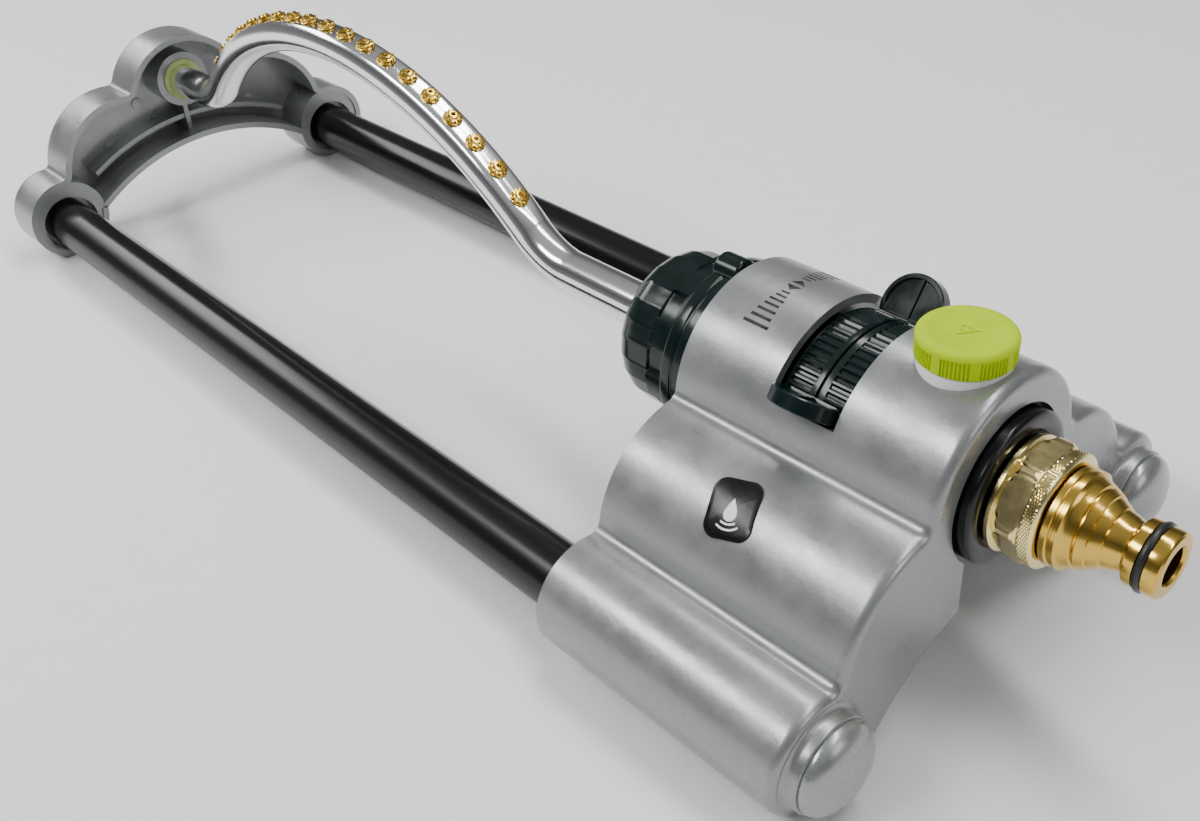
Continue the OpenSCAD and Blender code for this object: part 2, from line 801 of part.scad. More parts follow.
// The lay gear hangs under the axis; a gap of its teeth points up where the others point a tooth down.
module lay_gear() {
    pinion_length = lay_wheel_x - output_gear_x + 0.2;
    color("gainsboro") difference() {
        union() {
            gear(output_gear_x, pinion_length, pinion_teeth, -mesh_distance, 90 + 180 / pinion_teeth);
            gear(lay_wheel_x, gear_face, wheel_teeth, -mesh_distance, 90 + 180 / wheel_teeth);
        }
        rod_x(output_gear_x - 2, 20, lay_pin_r + running, 0, lay_z);
    }
}

module lay_pin() {
    start = output_gear_x - 0.3;
    color("silver") rod_x(start, turbine_plate_x + 1.3 - start, lay_pin_r, 0, lay_z);
}

// ---------------------------------------------------------------- range rings

// Ribbed ring around the barrel with a round paddle standing out through the window.
// Positive angles lean to the far side; the ring is drawn at its resting angle.
module range_ring(x, angle) {
    window_mid = window_back + window_length / 2;
    rib_depth = 0.5;
    clear_r = ring_r + ring_gap + 0.1;
    reach = 30;
    color("darkslategray") {
        difference() {
            ring(x, ring_width, ring_r, ring_inner);
            for (i = [0:rib_count - 1]) on_axis(x + 1) rotate([0, 0, i * 360 / rib_count])
                translate([ring_r - rib_depth, -0.4, 0]) cube([2, 0.8, ring_width - 2]);
        }
        translate([0, 0, pivot_height]) rotate([-angle, 0, 0]) {
            intersection() {
                translate([window_mid, 0, paddle_centre_r]) rotate([90, 0, 0])
                    cylinder(r = paddle_r, h = paddle_t, center = true, $fn = FINE);
                union() {
                    translate([x, -paddle_t, ring_inner + 1]) cube([ring_width, 2 * paddle_t, reach]);
                    translate([window_back + ring_gap, -paddle_t, clear_r])
                        cube([window_length - 2 * ring_gap, 2 * paddle_t, reach]);
                }
            }
        }
    }
}

// ---------------------------------------------------------------- inlet and valve

// Flap that sends the water to one jet or the other; its pin turns in the jet plate.
module reversing_flap() {
    pin_back = jet_plate_x + 0.5;
    flap_t = 1.4;
    flap_h = 11;
    color("gainsboro") {
        rod_x(pin_back, flap_front - pin_back, flap_pin_r, 0, flap_z);
        translate([flap_x, -flap_t / 2, flap_z - flap_h]) cube([flap_front - flap_x - 0.5, flap_t, flap_h]);
    }
}

module inlet_body() {
    chamber_r = 8;
    color([0.05, 0.05, 0.06]) difference() {
        union() {
            on_axis(inlet_body_back)
                cylinder(r = inlet_body_r, h = housing_front - inlet_body_back, $fn = FINE);
            on_axis(inlet_body_back - inlet_plug)
                cylinder(r = barrel_inner - 0.1, h = inlet_plug + 2, $fn = FINE);
            on_axis(housing_front - 6) cylinder(r = inlet_flange_r, h = 6 + inlet_flange_show, $fn = FINE);
            on_axis(inlet_front - EPS) cylinder(r = spigot_r, h = spigot_length, $fn = FINE);
            translate([knob_x, 0, pivot_height]) cylinder(r = 6.5, h = arch_r - housing_wall - 1);
            difference() {
                union() {
                    screw_places() translate([0, 0, -boss_length - ear_t - ring_gap])
                        cylinder(r = boss_r, h = ear_t);
                    translate([ear_x, 0, ear_z]) cube([ear_t, 2 * ear_reach, 2 * boss_r], center = true);
                }
                screw_places() translate([0, 0, -boss_length - ear_t - 1])
                    cylinder(r = screw_r + snug, h = boss_length + ear_t);
            }
        }
        on_axis(inlet_body_back - inlet_plug - 1)
            cylinder(r = chamber_r, h = connector_reach + housing_length, $fn = FINE);
        translate([knob_x, 0, pivot_height]) cylinder(r = spindle_hole_r, h = arch_r + 2);
    }
}

// Cup-shaped strainer in the spigot.
module filter_screen() {
    cup_r = 7.9;
    cup_length = 9;
    color("white") on_axis(spigot_front - cup_length) difference() {
        cylinder(r = cup_r, h = cup_length, $fn = FINE);
        translate([0, 0, 1]) cylinder(r = cup_r - 1.2, h = cup_length, $fn = FINE);
        for (ring_i = [1:2], a = [0:60:300]) rotate([0, 0, a + 30 * ring_i])
            translate([2.3 * ring_i, 0, -1]) cylinder(r = 0.8, h = 3, $fn = 24);
    }
}

module valve_spindle() {
    foot_z = pivot_height - 6;
    color("silver") {
        translate([knob_x, 0, foot_z]) cylinder(r = spindle_r, h = knob_bottom + knob_h / 2 - foot_z);
        translate([knob_x, 0, foot_z]) cylinder(r = spindle_r + 1.5, h = 3);
    }
}

module flow_knob() {
    skirt = 2;
    rib = 0.5;
    color([0.72, 0.82, 0.05]) translate([knob_x, 0, knob_bottom]) difference() {
        union() {
            cylinder(r = knob_r - rib, h = knob_h - 1, $fn = FINE);
            cylinder(r = knob_r - 1.6, h = knob_h, $fn = FINE);
            translate([0, 0, knob_h - 2]) cylinder(r1 = knob_r, r2 = knob_r - 1.2, h = 1.4, $fn = FINE);
            for (i = [0:knob_ribs - 1]) rotate([0, 0, i * 360 / knob_ribs])
                translate([knob_r - 1.2, -0.3, 0.4]) cube([1.2, 0.6, knob_h - 2]);
        }
        translate([0, 0, -1]) difference() {
            cylinder(r = knob_r - skirt, h = knob_h - 1, $fn = FINE);
            cylinder(r = spindle_r + 2, h = knob_h, $fn = FINE);
        }
        translate([0, 0, -1]) cylinder(r = spindle_r + snug, h = knob_h / 2 + 1);
    }
}

// Ring between the knob and the arch; its lower face is hollowed to the arch.
module knob_seat() {
    seat_r = knob_r - 0.6;
    color("white") difference() {
        translate([knob_x, 0, arch_top - 4]) cylinder(r = seat_r, h = 4 + seat_h, $fn = FINE);
        on_axis(housing_back) cylinder(r = arch_r, h = housing_length + 20, $fn = FINE);
        translate([knob_x, 0, arch_top - 6]) cylinder(r = seat_r - 3, h = 12, $fn = FINE);
    }
}

module hose_washer() {
    color("black") ring(spigot_front, washer_t, spigot_r - 0.4, bore_r + 1);
}

module hose_nut() {
    corner_r = nut_flats / 2 / cos(30);
    color("gold") difference() {
        intersection() {
            union() {
                on_axis(nut_back) cylinder(r = corner_r, h = nut_length, $fn = 6);
                on_axis(nut_back) cylinder(r = nut_flats / 2 + 1.6, h = 3, $fn = FINE);
            }
            on_axis(nut_back) cylinder(r = corner_r - 0.3, h = nut_length, $fn = FINE);
        }
        on_axis(nut_back - 1) cylinder(r = spigot_r + thread_clearance,
            h = nut_length + 1 - nut_collar_t, $fn = FINE);
        on_axis(nut_back) cylinder(r = tail_r + 0.1, h = nut_length + 2, $fn = FINE);
    }
}

// Turned connector: a tail flange under the nut, a flared body, a neck and a barrel.
tail_r = 9.6;
groove_depth = 1.5;
groove_w = 2.1;
groove_x = connector_tip - 4.6;
module hose_connector() {
    flare_r = 12.4;
    neck_r = 6.2;
    tail_t = nut_front - nut_collar_t - 0.1 - tail_back;
    function at(x) = x - tail_back;
    color("darkgoldenrod") on_axis(tail_back) rotate_extrude($fn = FINE) polygon([
        [bore_r, 0],
        [spigot_r - 0.2, 0],
        [spigot_r - 0.2, tail_t],
        [tail_r, tail_t],
        [tail_r, at(nut_front) + 0.2],
        [flare_r, at(nut_front) + 0.8],
        [flare_r, at(nut_front) + 4.5],
        [10.6, at(nut_front) + 7],
        [neck_r, at(connector_tip) - 10.2],
        [neck_r, at(connector_tip) - 8.8],
        [connector_r, at(connector_tip) - 7.8],
        [connector_r, at(groove_x) - groove_w / 2],
        [connector_r - groove_depth, at(groove_x) - groove_w / 2],
        [connector_r - groove_depth, at(groove_x) + groove_w / 2],
        [connector_r, at(groove_x) + groove_w / 2],
        [connector_r, at(connector_tip) - 0.8],
        [connector_r - 0.8, at(connector_tip)],
        [bore_r + 0.6, at(connector_tip)],
        [bore_r, at(connector_tip) - 0.6]
    ]);
}

module connector_seal() {
    section_r = 1;
    color("black") on_axis(groove_x) rotate_extrude($fn = FINE)
        translate([connector_r - groove_depth + section_r + snug, 0]) circle(r = section_r, $fn = 32);
}

// ---------------------------------------------------------------- fasteners and trim

// Two screws hold the inlet body's ears against bosses behind the front wall.
module screw_places() {
    for (side = [-1, 1]) translate([housing_front - front_wall, side * ear_reach, ear_z])
        rotate([0, 90, 0]) children();
}

module casing_screws() {
    head_x = -boss_length - ear_t - ring_gap;
    head_t = 2;
    color("silver") screw_places() {
        translate([0, 0, head_x - head_t]) cylinder(r = screw_r * 1.8, h = head_t, $fn = 32);
        translate([0, 0, head_x - 1]) cylinder(r = screw_r, h = boss_length + ear_t, $fn = 32);
    }
}

// Rounded plate on the near shoulder, curved with the lobe.
module badge() {
    plate_w = 13.5;
    plate_h = 15.5;
    plate_thick = 0.5;
    lobe_angle = 37.5;
    turn = 17;
    color("black") difference() {
        intersection() {
            translate([badge_x, -shoulder_y, shoulder_height]) rotate([lobe_angle, 0, 0])
                translate([0, 0, shoulder_r - 5]) rotate([0, 0, turn]) badge_plan(plate_w, plate_h);
            rod_x(badge_x - 30, 60, shoulder_r + plate_thick, -shoulder_y, shoulder_height);
        }
        rod_x(badge_x - 40, 80, shoulder_r, -shoulder_y, shoulder_height);
    }
}
badge_x = housing_front - 43.5;

module badge_plan(w, h) {
    round_r = 3.5;
    linear_extrude(9) {
        translate([-w / 2, -h / 2 + round_r]) square([w, h - 2 * round_r]);
        translate([-w / 2 + round_r, -h / 2]) square([w - 2 * round_r, h]);
        for (i = [-1, 1], j = [-1, 1]) translate([i * (w / 2 - round_r), j * (h / 2 - round_r)])
            circle(r = round_r, $fn = 48);
    }
}

motor_housing();
end_foot();
rail(-1);  // rail_near
rail(1);  // rail_far
end_cap(-1);  // end_cap_near
end_cap(1);  // end_cap_far
pivot_bush();
spray_tube();
tube_end_plug();
nose_boot();
output_hub();
hub_seal();
tube_seal();
notched_collar();
motor_flange();
motor_barrel();
turbine_plate();
jet_plate();
water_wheel();
turbine_shaft();
lay_gear();
lay_pin();
range_ring(near_ring_x, -near_angle);  // range_ring_near
range_ring(far_ring_x, far_angle);  // range_ring_far
reversing_flap();
inlet_body();
filter_screen();
valve_spindle();
flow_knob();
knob_seat();
hose_washer();
hose_nut();
hose_connector();
connector_seal();
casing_screws();
badge();
for (i = [1:nozzle_count]) nozzle(i);
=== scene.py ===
"""Looks for an oscillating lawn sprinkler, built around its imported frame.

Each sub-assembly is a class that holds its sizes and builds and dresses its own meshes. Sizes
are in metres, in the frame's own axes: X from the foot to the hose, Y across the rails, Z up.
"""

from __future__ import annotations

import json
import logging
import math
from dataclasses import dataclass, field
from enum import Enum
from typing import Sequence

import bmesh
import bpy
import numpy as np
from mathutils import Matrix, Vector
from mathutils.geometry import delaunay_2d_cdt

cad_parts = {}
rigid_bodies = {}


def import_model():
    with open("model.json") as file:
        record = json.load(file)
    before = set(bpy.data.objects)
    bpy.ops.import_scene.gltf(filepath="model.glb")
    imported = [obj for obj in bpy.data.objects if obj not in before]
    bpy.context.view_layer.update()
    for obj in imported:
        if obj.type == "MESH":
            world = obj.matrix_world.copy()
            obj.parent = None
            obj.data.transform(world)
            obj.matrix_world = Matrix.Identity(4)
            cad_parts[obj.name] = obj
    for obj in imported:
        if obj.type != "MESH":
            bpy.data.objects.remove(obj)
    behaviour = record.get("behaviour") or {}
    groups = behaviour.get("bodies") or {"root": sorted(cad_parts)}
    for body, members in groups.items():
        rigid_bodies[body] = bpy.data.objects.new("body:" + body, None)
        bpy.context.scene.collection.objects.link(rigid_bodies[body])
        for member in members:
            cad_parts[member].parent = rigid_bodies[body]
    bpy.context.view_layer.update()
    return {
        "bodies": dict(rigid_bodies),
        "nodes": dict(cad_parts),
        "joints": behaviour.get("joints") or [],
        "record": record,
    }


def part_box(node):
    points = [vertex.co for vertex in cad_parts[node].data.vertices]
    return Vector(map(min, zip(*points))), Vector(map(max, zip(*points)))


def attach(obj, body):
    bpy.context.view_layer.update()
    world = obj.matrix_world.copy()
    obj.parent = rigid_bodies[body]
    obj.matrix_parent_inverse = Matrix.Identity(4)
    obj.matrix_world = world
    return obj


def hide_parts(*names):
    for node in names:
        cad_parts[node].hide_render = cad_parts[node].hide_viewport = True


LOG = logging.getLogger("sprinkler")
MM = 0.001
Color = tuple[float, float, float]
Socket = bpy.types.NodeSocket

# Noise values between which a finish's mottling runs.
CLOUD_LOW, CLOUD_HIGH = 0.3, 0.7
# Openings of the castings that take the rails.
MOUTH_R, MOUTH_DEPTH, RAIL_BORE_R = 11.6 * MM, 6 * MM, 9.55 * MM
# Corners of each face of a block, with its corners counted by Y, then Z, then X.
BLOCK_FACES = (
    (0, 1, 3, 2), (4, 5, 7, 6), (0, 1, 5, 4), (2, 3, 7, 6), (0, 2, 6, 4), (1, 3, 7, 5),
)


# ---------------------------------------------------------------- finishes


class Grain(Enum):
    """How a finish's fine relief runs."""

    EVEN = "even"
    ALONG_X = "along_x"
    AROUND_X = "around_x"
    ALONG_TUBE = "along_tube"


@dataclass(frozen=True)
class Finish:
    """One procedural surface: colour, gloss, mottling, painted glints on metal flakes, fine relief
    and marks.
    """

    name: str
    color: Color
    roughness: float
    metallic: float = 0.0
    coat: float = 0.0
    coat_roughness: float = 0.08
    specular: float = 0.5
    mottle: float = 0.06
    mottle_per_m: float = 90.0
    rough_spread: float = 0.08
    peel_mm: float = 0.02
    peel_per_m: float = 500.0
    grit_mm: float = 0.004
    grit_per_m: float = 3500.0
    # Strength of the painted glints on the paint's real metal flakes, and how many flakes fit in a
    # metre.
    flake_glint: float = 0.0
    flake_glint_per_m: float = 5200.0
    scuff: float = 0.0
    grain: Grain = Grain.EVEN

    def build(self) -> bpy.types.Material:
        """Makes the material.

        Returns:
            The Blender material with its node tree.
        """
        tree = ShaderTree(self.name)
        place = tree.place(self.grain)
        cloud = tree.noise(place, self.mottle_per_m, 4.0)
        color = tree.shade(self.color, cloud, self.mottle)
        # Painted glints: the paint's metal flakes are real, but their sparkle is painted as
        # scattered cells brighter than the base colour.
        if self.flake_glint:
            flake_glints = tree.cells(place, self.flake_glint_per_m)
            color = tree.mix_to(color, tree.tint(self.color, 1.0 + self.flake_glint), flake_glints)
        if self.scuff:
            marks = tree.scratches(place, self.scuff)
            color = tree.mix_to(color, tree.tint(self.color, 1.35), marks)
        rough = tree.spread(cloud, self.roughness, self.rough_spread)
        height = tree.relief(place, self.peel_per_m, self.peel_mm * MM, None)
        height = tree.relief(place, self.grit_per_m, self.grit_mm * MM, height)
        tree.principled(color, rough, height, self)
        return tree.material


class ShaderTree:
    """Builds one material's nodes."""

    def __init__(self, name: str) -> None:
        """Starts a material with an empty surface."""
        self.material = bpy.data.materials.new(name)
        self.material.use_nodes = True
        self.tree = self.material.node_tree
        self.tree.nodes.clear()

    def add(
        self,
        kind: str,
        values: dict[str, object] | None = None,
        links: dict[str, Socket] | None = None,
        **settings: object,
    ) -> bpy.types.Node:
        """Adds a node.

        Args:
            kind: Blender's node type.
            values: Constants of its input sockets.
            links: Sockets that feed its input sockets.
            settings: Its own properties.

        Returns:
            The new node.
        """
        node = self.tree.nodes.new(kind)
        for key, value in settings.items():
            setattr(node, key, value)
        for key, value in (values or {}).items():
            node.inputs[key].default_value = value
        for key, source in (links or {}).items():
            self.tree.links.new(source, node.inputs[key])
        return node

    def place(self, grain: Grain) -> Socket:
        """Gives coordinates in metres, squeezed along a grain.

        Args:
            grain: How the fine relief runs.

        Returns:
            A vector socket.
        """
        where = self.add("ShaderNodeTexCoord").outputs["Object"]
        if grain is Grain.EVEN:
            return where
        if grain is Grain.ALONG_TUBE:
            where = self.add("ShaderNodeAttribute", attribute_name="run").outputs["Vector"]
        squeeze = (1.0, 0.05, 0.05) if grain is Grain.AROUND_X else (0.03, 1.0, 1.0)
        node = self.add("ShaderNodeMapping", {"Scale": squeeze}, {"Vector": where})
        return node.outputs["Vector"]

    def noise(self, place: Socket, per_m: float, detail: float) -> Socket:
        """Soft noise.

        Args:
            place: Coordinates in metres.
            per_m: Blobs in a metre.
            detail: Levels of finer noise.

        Returns:
            The noise value.
        """
        values = {"Scale": per_m, "Detail": detail, "Roughness": 0.55}
        return self.add("ShaderNodeTexNoise", values, {"Vector": place}).outputs["Fac"]

    def cells(self, place: Socket, per_m: float) -> Socket:
        """Scattered metal flakes, as the mask for their painted glints.

        Args:
            place: Coordinates in metres.
            per_m: Flakes in a metre.

        Returns:
            A value that is 1 on the brightest flakes, where the painted glint is strongest.
        """
        node = self.add("ShaderNodeTexVoronoi", {"Scale": per_m}, {"Vector": place})
        pick = self.add("ShaderNodeSeparateColor", links={"Color": node.outputs["Color"]})
        return self.ramp(pick.outputs["Red"], 0.72, 1.0)

    def ramp(self, value: Socket, low: float, high: float) -> Socket:
        """Spreads a value smoothly to 0 at a low limit and 1 at a high one."""
        values = {"From Min": low, "From Max": high}
        node = self.add(
            "ShaderNodeMapRange", values, {"Value": value}, interpolation_type="SMOOTHSTEP"
        )
        return node.outputs["Result"]

    def spread(self, value: Socket, middle: float, half: float) -> Socket:
        """Turns a noise into a narrow band about a middle.

        Args:
            value: Noise from 0 to 1.
            middle: The band's middle.
            half: Half the band's width.

        Returns:
            The banded value.
        """
        values = {
            "From Min": CLOUD_LOW,
            "From Max": CLOUD_HIGH,
            "To Min": max(middle - half, 0.02),
            "To Max": min(middle + half, 1.0),
        }
        return self.add("ShaderNodeMapRange", values, {"Value": value}).outputs["Result"]

    def tint(self, color: Color, gain: float) -> Color:
        """Brightens or darkens a colour."""
        return tuple(min(c * gain, 1.0) for c in color)

    def mix_to(self, base: Socket, other: Color, share: Socket) -> Socket:
        """Mixes towards a fixed colour.

        Args:
            base: The colour underneath.
            other: The colour on top.
            share: How much of it shows.

        Returns:
            The mixed colour.
        """
        node = self.add("ShaderNodeMix", links={"Factor": share}, data_type="RGBA")
        colors = {s.name: s for s in node.inputs if s.type == "RGBA"}
        self.tree.links.new(base, colors["A"])
        colors["B"].default_value = (*other, 1.0)
        return next(s for s in node.outputs if s.type == "RGBA")

    def shade(self, color: Color, cloud: Socket, depth: float) -> Socket:
        """Mottles a colour.

        Args:
            color: The middle colour.
            cloud: Noise from 0 to 1.
            depth: Share by which it gets lighter and darker.

        Returns:
            The mottled colour.
        """
        node = self.add("ShaderNodeValToRGB", links={"Fac": cloud})
        low, high = node.color_ramp.elements
        low.position, low.color = CLOUD_LOW, (*self.tint(color, 1.0 - depth), 1.0)
        high.position, high.color = CLOUD_HIGH, (*self.tint(color, 1.0 + depth), 1.0)
        return node.outputs["Color"]

    def scratches(self, place: Socket, amount: float) -> Socket:
        """Fine handling marks.

        Args:
            place: Coordinates in metres.
            amount: How strongly they show.

        Returns:
            A value that is high on a mark.
        """
        values = {"Scale": 260.0, "Detail": 8.0, "Distortion": 3.0}
        node = self.add("ShaderNodeTexNoise", values, {"Vector": place})
        scale = self.add("ShaderNodeMath", operation="MULTIPLY")
        scale.inputs[1].default_value = amount
        self.tree.links.new(self.ramp(node.outputs["Fac"], 0.66, 0.74), scale.inputs[0])
        return scale.outputs["Value"]

    def relief(self, place: Socket, per_m: float, depth: float, under: Socket | None) -> Socket:
        """Adds a layer of fine relief.

        Args:
            place: Coordinates in metres.
            per_m: Bumps in a metre.
            depth: Height of the bumps.
            under: The normal of the layer underneath.

        Returns:
            The surface normal with this layer.
        """
        links = {"Height": self.noise(place, per_m, 2.0)}
        if under is not None:
            links["Normal"] = under
        node = self.add("ShaderNodeBump", {"Strength": 1.0, "Distance": depth}, links)
        return node.outputs["Normal"]

    def principled(self, color: Socket, rough: Socket, normal: Socket, finish: Finish) -> None:
        """Closes the tree with its shader.

        Args:
            color: Base colour.
            rough: Roughness.
            normal: Surface normal.
            finish: Holds the values that are the same all over.
        """
        values = {
            "Metallic": finish.metallic,
            "Coat Weight": finish.coat,
            "Coat Roughness": finish.coat_roughness,
            "Specular IOR Level": finish.specular,
        }
        links = {"Base Color": color, "Roughness": rough, "Normal": normal}
        shader = self.add("ShaderNodeBsdfPrincipled", values, links)
        self.add("ShaderNodeOutputMaterial", links={"Surface": shader.outputs["BSDF"]})


@dataclass
class Palette:
    """Every finish on the sprinkler, made once and handed out by the record's slot names."""

    finishes: dict[str, Finish] = field(
        default_factory=lambda: {
            # Both metallic paints get painted glints on their metal flakes: scattered cells made
            # brighter.
            "painted_casting": Finish(
                "casting_paint", (0.27, 0.278, 0.284), 0.34, metallic=0.6, coat=0.4,
                coat_roughness=0.2, mottle=0.05, peel_mm=0.05, peel_per_m=420.0,
                grit_mm=0.003, flake_glint=0.2,
            ),
            "painted_cap": Finish(
                "cap_paint", (0.3, 0.31, 0.315), 0.28, metallic=0.6, coat=0.45,
                coat_roughness=0.12, mottle=0.04, peel_mm=0.02, flake_glint=0.3,
            ),
            "black_gloss_tube": Finish(
                "rail_enamel", (0.004, 0.004, 0.005), 0.24, specular=0.3, mottle=0.3,
                peel_mm=0.012, grit_mm=0.002, scuff=0.12, grain=Grain.ALONG_X,
            ),
            "bush_plastic": Finish(
                "bush_plastic", (0.32, 0.38, 0.12), 0.35, mottle=0.1,
            ),
            "bright_aluminium": Finish(
                "bright_tube", (0.86, 0.87, 0.885), 0.14, metallic=1.0, mottle=0.05,
                rough_spread=0.05, peel_mm=0.02, peel_per_m=240.0, grit_mm=0.003,
                scuff=0.1, grain=Grain.ALONG_TUBE,
            ),
            "brass": Finish(
                "turned_brass", (0.72, 0.48, 0.09), 0.22, metallic=1.0, mottle=0.12,
                mottle_per_m=400.0, grit_mm=0.004,
            ),
            "pale_brass": Finish(
                "pale_brass", (0.88, 0.74, 0.34), 0.18, metallic=1.0, mottle=0.07,
                mottle_per_m=200.0, peel_mm=0.03, peel_per_m=700.0,
            ),
            "copper_brass": Finish(
                "warm_brass", (0.7, 0.46, 0.09), 0.2, metallic=1.0, mottle=0.07,
                peel_mm=0.004, grit_mm=0.005, grain=Grain.AROUND_X,
            ),
            "dark_green_plastic": Finish(
                "dark_green_plastic", (0.002, 0.009, 0.008), 0.17, specular=0.4,
                mottle=0.2, peel_mm=0.03, peel_per_m=220.0, grit_mm=0.002,
            ),
            "black_plastic": Finish(
                "black_plastic", (0.004, 0.0045, 0.005), 0.24, specular=0.35, mottle=0.2,
                peel_mm=0.02,
            ),
            "light_plastic": Finish(
                "light_plastic", (0.74, 0.74, 0.70), 0.42, mottle=0.05,
            ),
            "lime_plastic": Finish(
                "lime_plastic", (0.44, 0.62, 0.0), 0.4, mottle=0.05, peel_mm=0.02,
                specular=0.03,
            ),
            "white_plastic": Finish(
                "white_plastic", (0.80, 0.80, 0.78), 0.3, mottle=0.04,
            ),
            "seal_rubber": Finish(
                "seal_rubber", (0.012, 0.012, 0.012), 0.38, mottle=0.2, grit_mm=0.006,
            ),
            "steel": Finish(
                "plain_steel", (0.58, 0.58, 0.6), 0.28, metallic=1.0, grain=Grain.AROUND_X,
            ),
            "printed_ink": Finish(
                "printed_ink", (0.012, 0.013, 0.014), 0.5, mottle=0.25, peel_mm=0.005,
            ),
            "printed_white": Finish(
                "printed_white", (0.82, 0.82, 0.82), 0.45, mottle=0.05, peel_mm=0.005,
            ),
        }
    )
    made: dict[str, bpy.types.Material] = field(default_factory=dict)

    def material(self, slot: str) -> bpy.types.Material:
        """Gives the material of a slot, made on first use."""
        if slot not in self.made:
            self.made[slot] = self.finishes[slot].build()
        return self.made[slot]

    def dress_nodes(self, frame: dict) -> None:
        """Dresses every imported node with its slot's finish.
        """
        for part in frame["record"]["subparts"]:
            node = frame["nodes"].get(part["node"])
            if node is None:
                continue
            node.data.materials.clear()
            node.data.materials.append(self.material(part["material_slot"]))


# ---------------------------------------------------------------- mesh tools


class Mesh:
    """A mesh being put together from patches, with points in metres."""

    def __init__(self) -> None:
        """Starts empty."""
        self.points: list[tuple[float, float, float]] = []
        self.faces: list[tuple[int, ...]] = []

    def add(self, points: np.ndarray) -> list[int]:
        """Adds points and gives their indices."""
        first = len(self.points)
        self.points.extend(tuple(map(float, p)) for p in points)
        return list(range(first, len(self.points)))

    def strip(self, a: Sequence[int], b: Sequence[int], closed: bool = False) -> None:
        """Joins two rows of points with four-sided faces.

        Args:
            a: One row.
            b: The other row, as long.
            closed: Whether the rows close on themselves.
        """
        count = len(a)
        for i in range(count if closed else count - 1):
            j = (i + 1) % count
            self.faces.append((a[i], a[j], b[j], b[i]))

    def grid(self, rows: np.ndarray, closed: bool = False) -> list[list[int]]:
        """Adds rows of points and joins each to the next.

        Args:
            rows: Array of rows by points by 3.
            closed: Whether each row closes on itself.

        Returns:
            The indices of every row.
        """
        made = [self.add(row) for row in rows]
        for a, b in zip(made, made[1:]):
            self.strip(a, b, closed)
        return made

    def rest_on_floor(self) -> None:
        """Flattens whatever would reach below the floor, as the casting's pads are."""
        self.points = [(x, y, max(z, 0.0)) for x, y, z in self.points]

    def fill(self, loop: Sequence[int]) -> None:
        """Fills a flat loop that faces along X with well-shaped triangles.

        Args:
            loop: Indices of its points in order.
        """
        rim = np.array([self.points[i][1:] for i in loop])
        count = len(rim)
        sides = [(i, (i + 1) % count) for i in range(count)]
        # Output type 0 fills the loop's whole hull, so only triangles inside the loop are kept.
        places, _, faces, sources, _, _ = delaunay_2d_cdt(
            [Vector(p) for p in rim], sides, [], 0, 1e-7, True
        )
        x = self.points[loop[0]][0]
        ids = [
            loop[source[0]] if source else self.add(np.array([(x, *place)]))[0]
            for place, source in zip(places, sources)
        ]
        ends = np.roll(rim, -1, axis=0)
        for face in faces:
            y, z = np.mean([places[i] for i in face], axis=0)
            beside = (rim[:, 1] > z) != (ends[:, 1] > z)
            run, rise = (ends - rim)[beside].T
            cross = rim[beside, 0] + run * (z - rim[beside, 1]) / rise
            if np.count_nonzero(cross > y) % 2:
                self.faces.append(tuple(ids[i] for i in face))

    def ring(self, rows: np.ndarray, place: Matrix) -> None:
        """Adds a body from closed rows that run on round its section, at a place."""
        made = self.grid(moved(rows, place), closed=True)
        self.strip(made[-1], made[0], closed=True)

    def revolve(
        self, profile: Sequence[tuple[float, float]], turn: Matrix, steps: int = 96
    ) -> None:
        """Adds a closed turned body.

        Args:
            profile: Points of (along, radius) of its half section, from axis to axis.
            turn: Places the body; its own axis is Z.
            steps: Points around.
        """
        made = self.grid(moved(turned(profile[1:-1], steps), turn), closed=True)
        for end, row in ((profile[0], made[0]), (profile[-1], made[-1])):
            tip = self.add(moved(np.array([[0.0, 0.0, end[0]]]), turn))[0]
            for i in range(steps):
                self.faces.append((row[i], row[(i + 1) % steps], tip))

    def block(
        self, x: tuple[float, float], half: float, z: tuple[float, float], place: Matrix
    ) -> None:
        """Adds a block.

        Args:
            x: Its ends along X.
            half: Half its thickness along Y.
            z: Its ends along Z.
            place: Where it goes.
        """
        corners = [(at, y, rise) for y in (-half, half) for rise in z for at in x]
        ids = self.add(moved(np.array(corners), place))
        self.faces.extend(tuple(ids[i] for i in face) for face in BLOCK_FACES)

    def build(self, name: str, material: bpy.types.Material) -> bpy.types.Object:
        """Turns the patches into a smooth-shaded object.

        Args:
            name: The piece's name.
            material: Its finish.

        Returns:
            The new object.
        """
        data = bpy.data.meshes.new(name)
        data.from_pydata(self.points, [], self.faces)
        data.validate()
        work = bmesh.new()
        work.from_mesh(data)
        bmesh.ops.recalc_face_normals(work, faces=work.faces)
        work.to_mesh(data)
        work.free()
        data.materials.append(material)
        data.shade_smooth()
        piece = bpy.data.objects.new(name, data)
        bpy.context.scene.collection.objects.link(piece)
        return piece


def moved(points: np.ndarray, place: Matrix) -> np.ndarray:
    """Moves an array of points, whatever its shape, by a matrix."""
    flat = points.reshape(-1, 3)
    move = np.array(place)
    return (flat @ move[:3, :3].T + move[:3, 3]).reshape(points.shape)


def along_x(x: float = 0.0, y: float = 0.0, z: float = 0.0) -> Matrix:
    """Places a body's own Z along +X, its X down and its Y along +Y, at a point."""
    return Matrix.Translation((x, y, z)) @ Matrix.Rotation(math.pi / 2, 4, "Y")


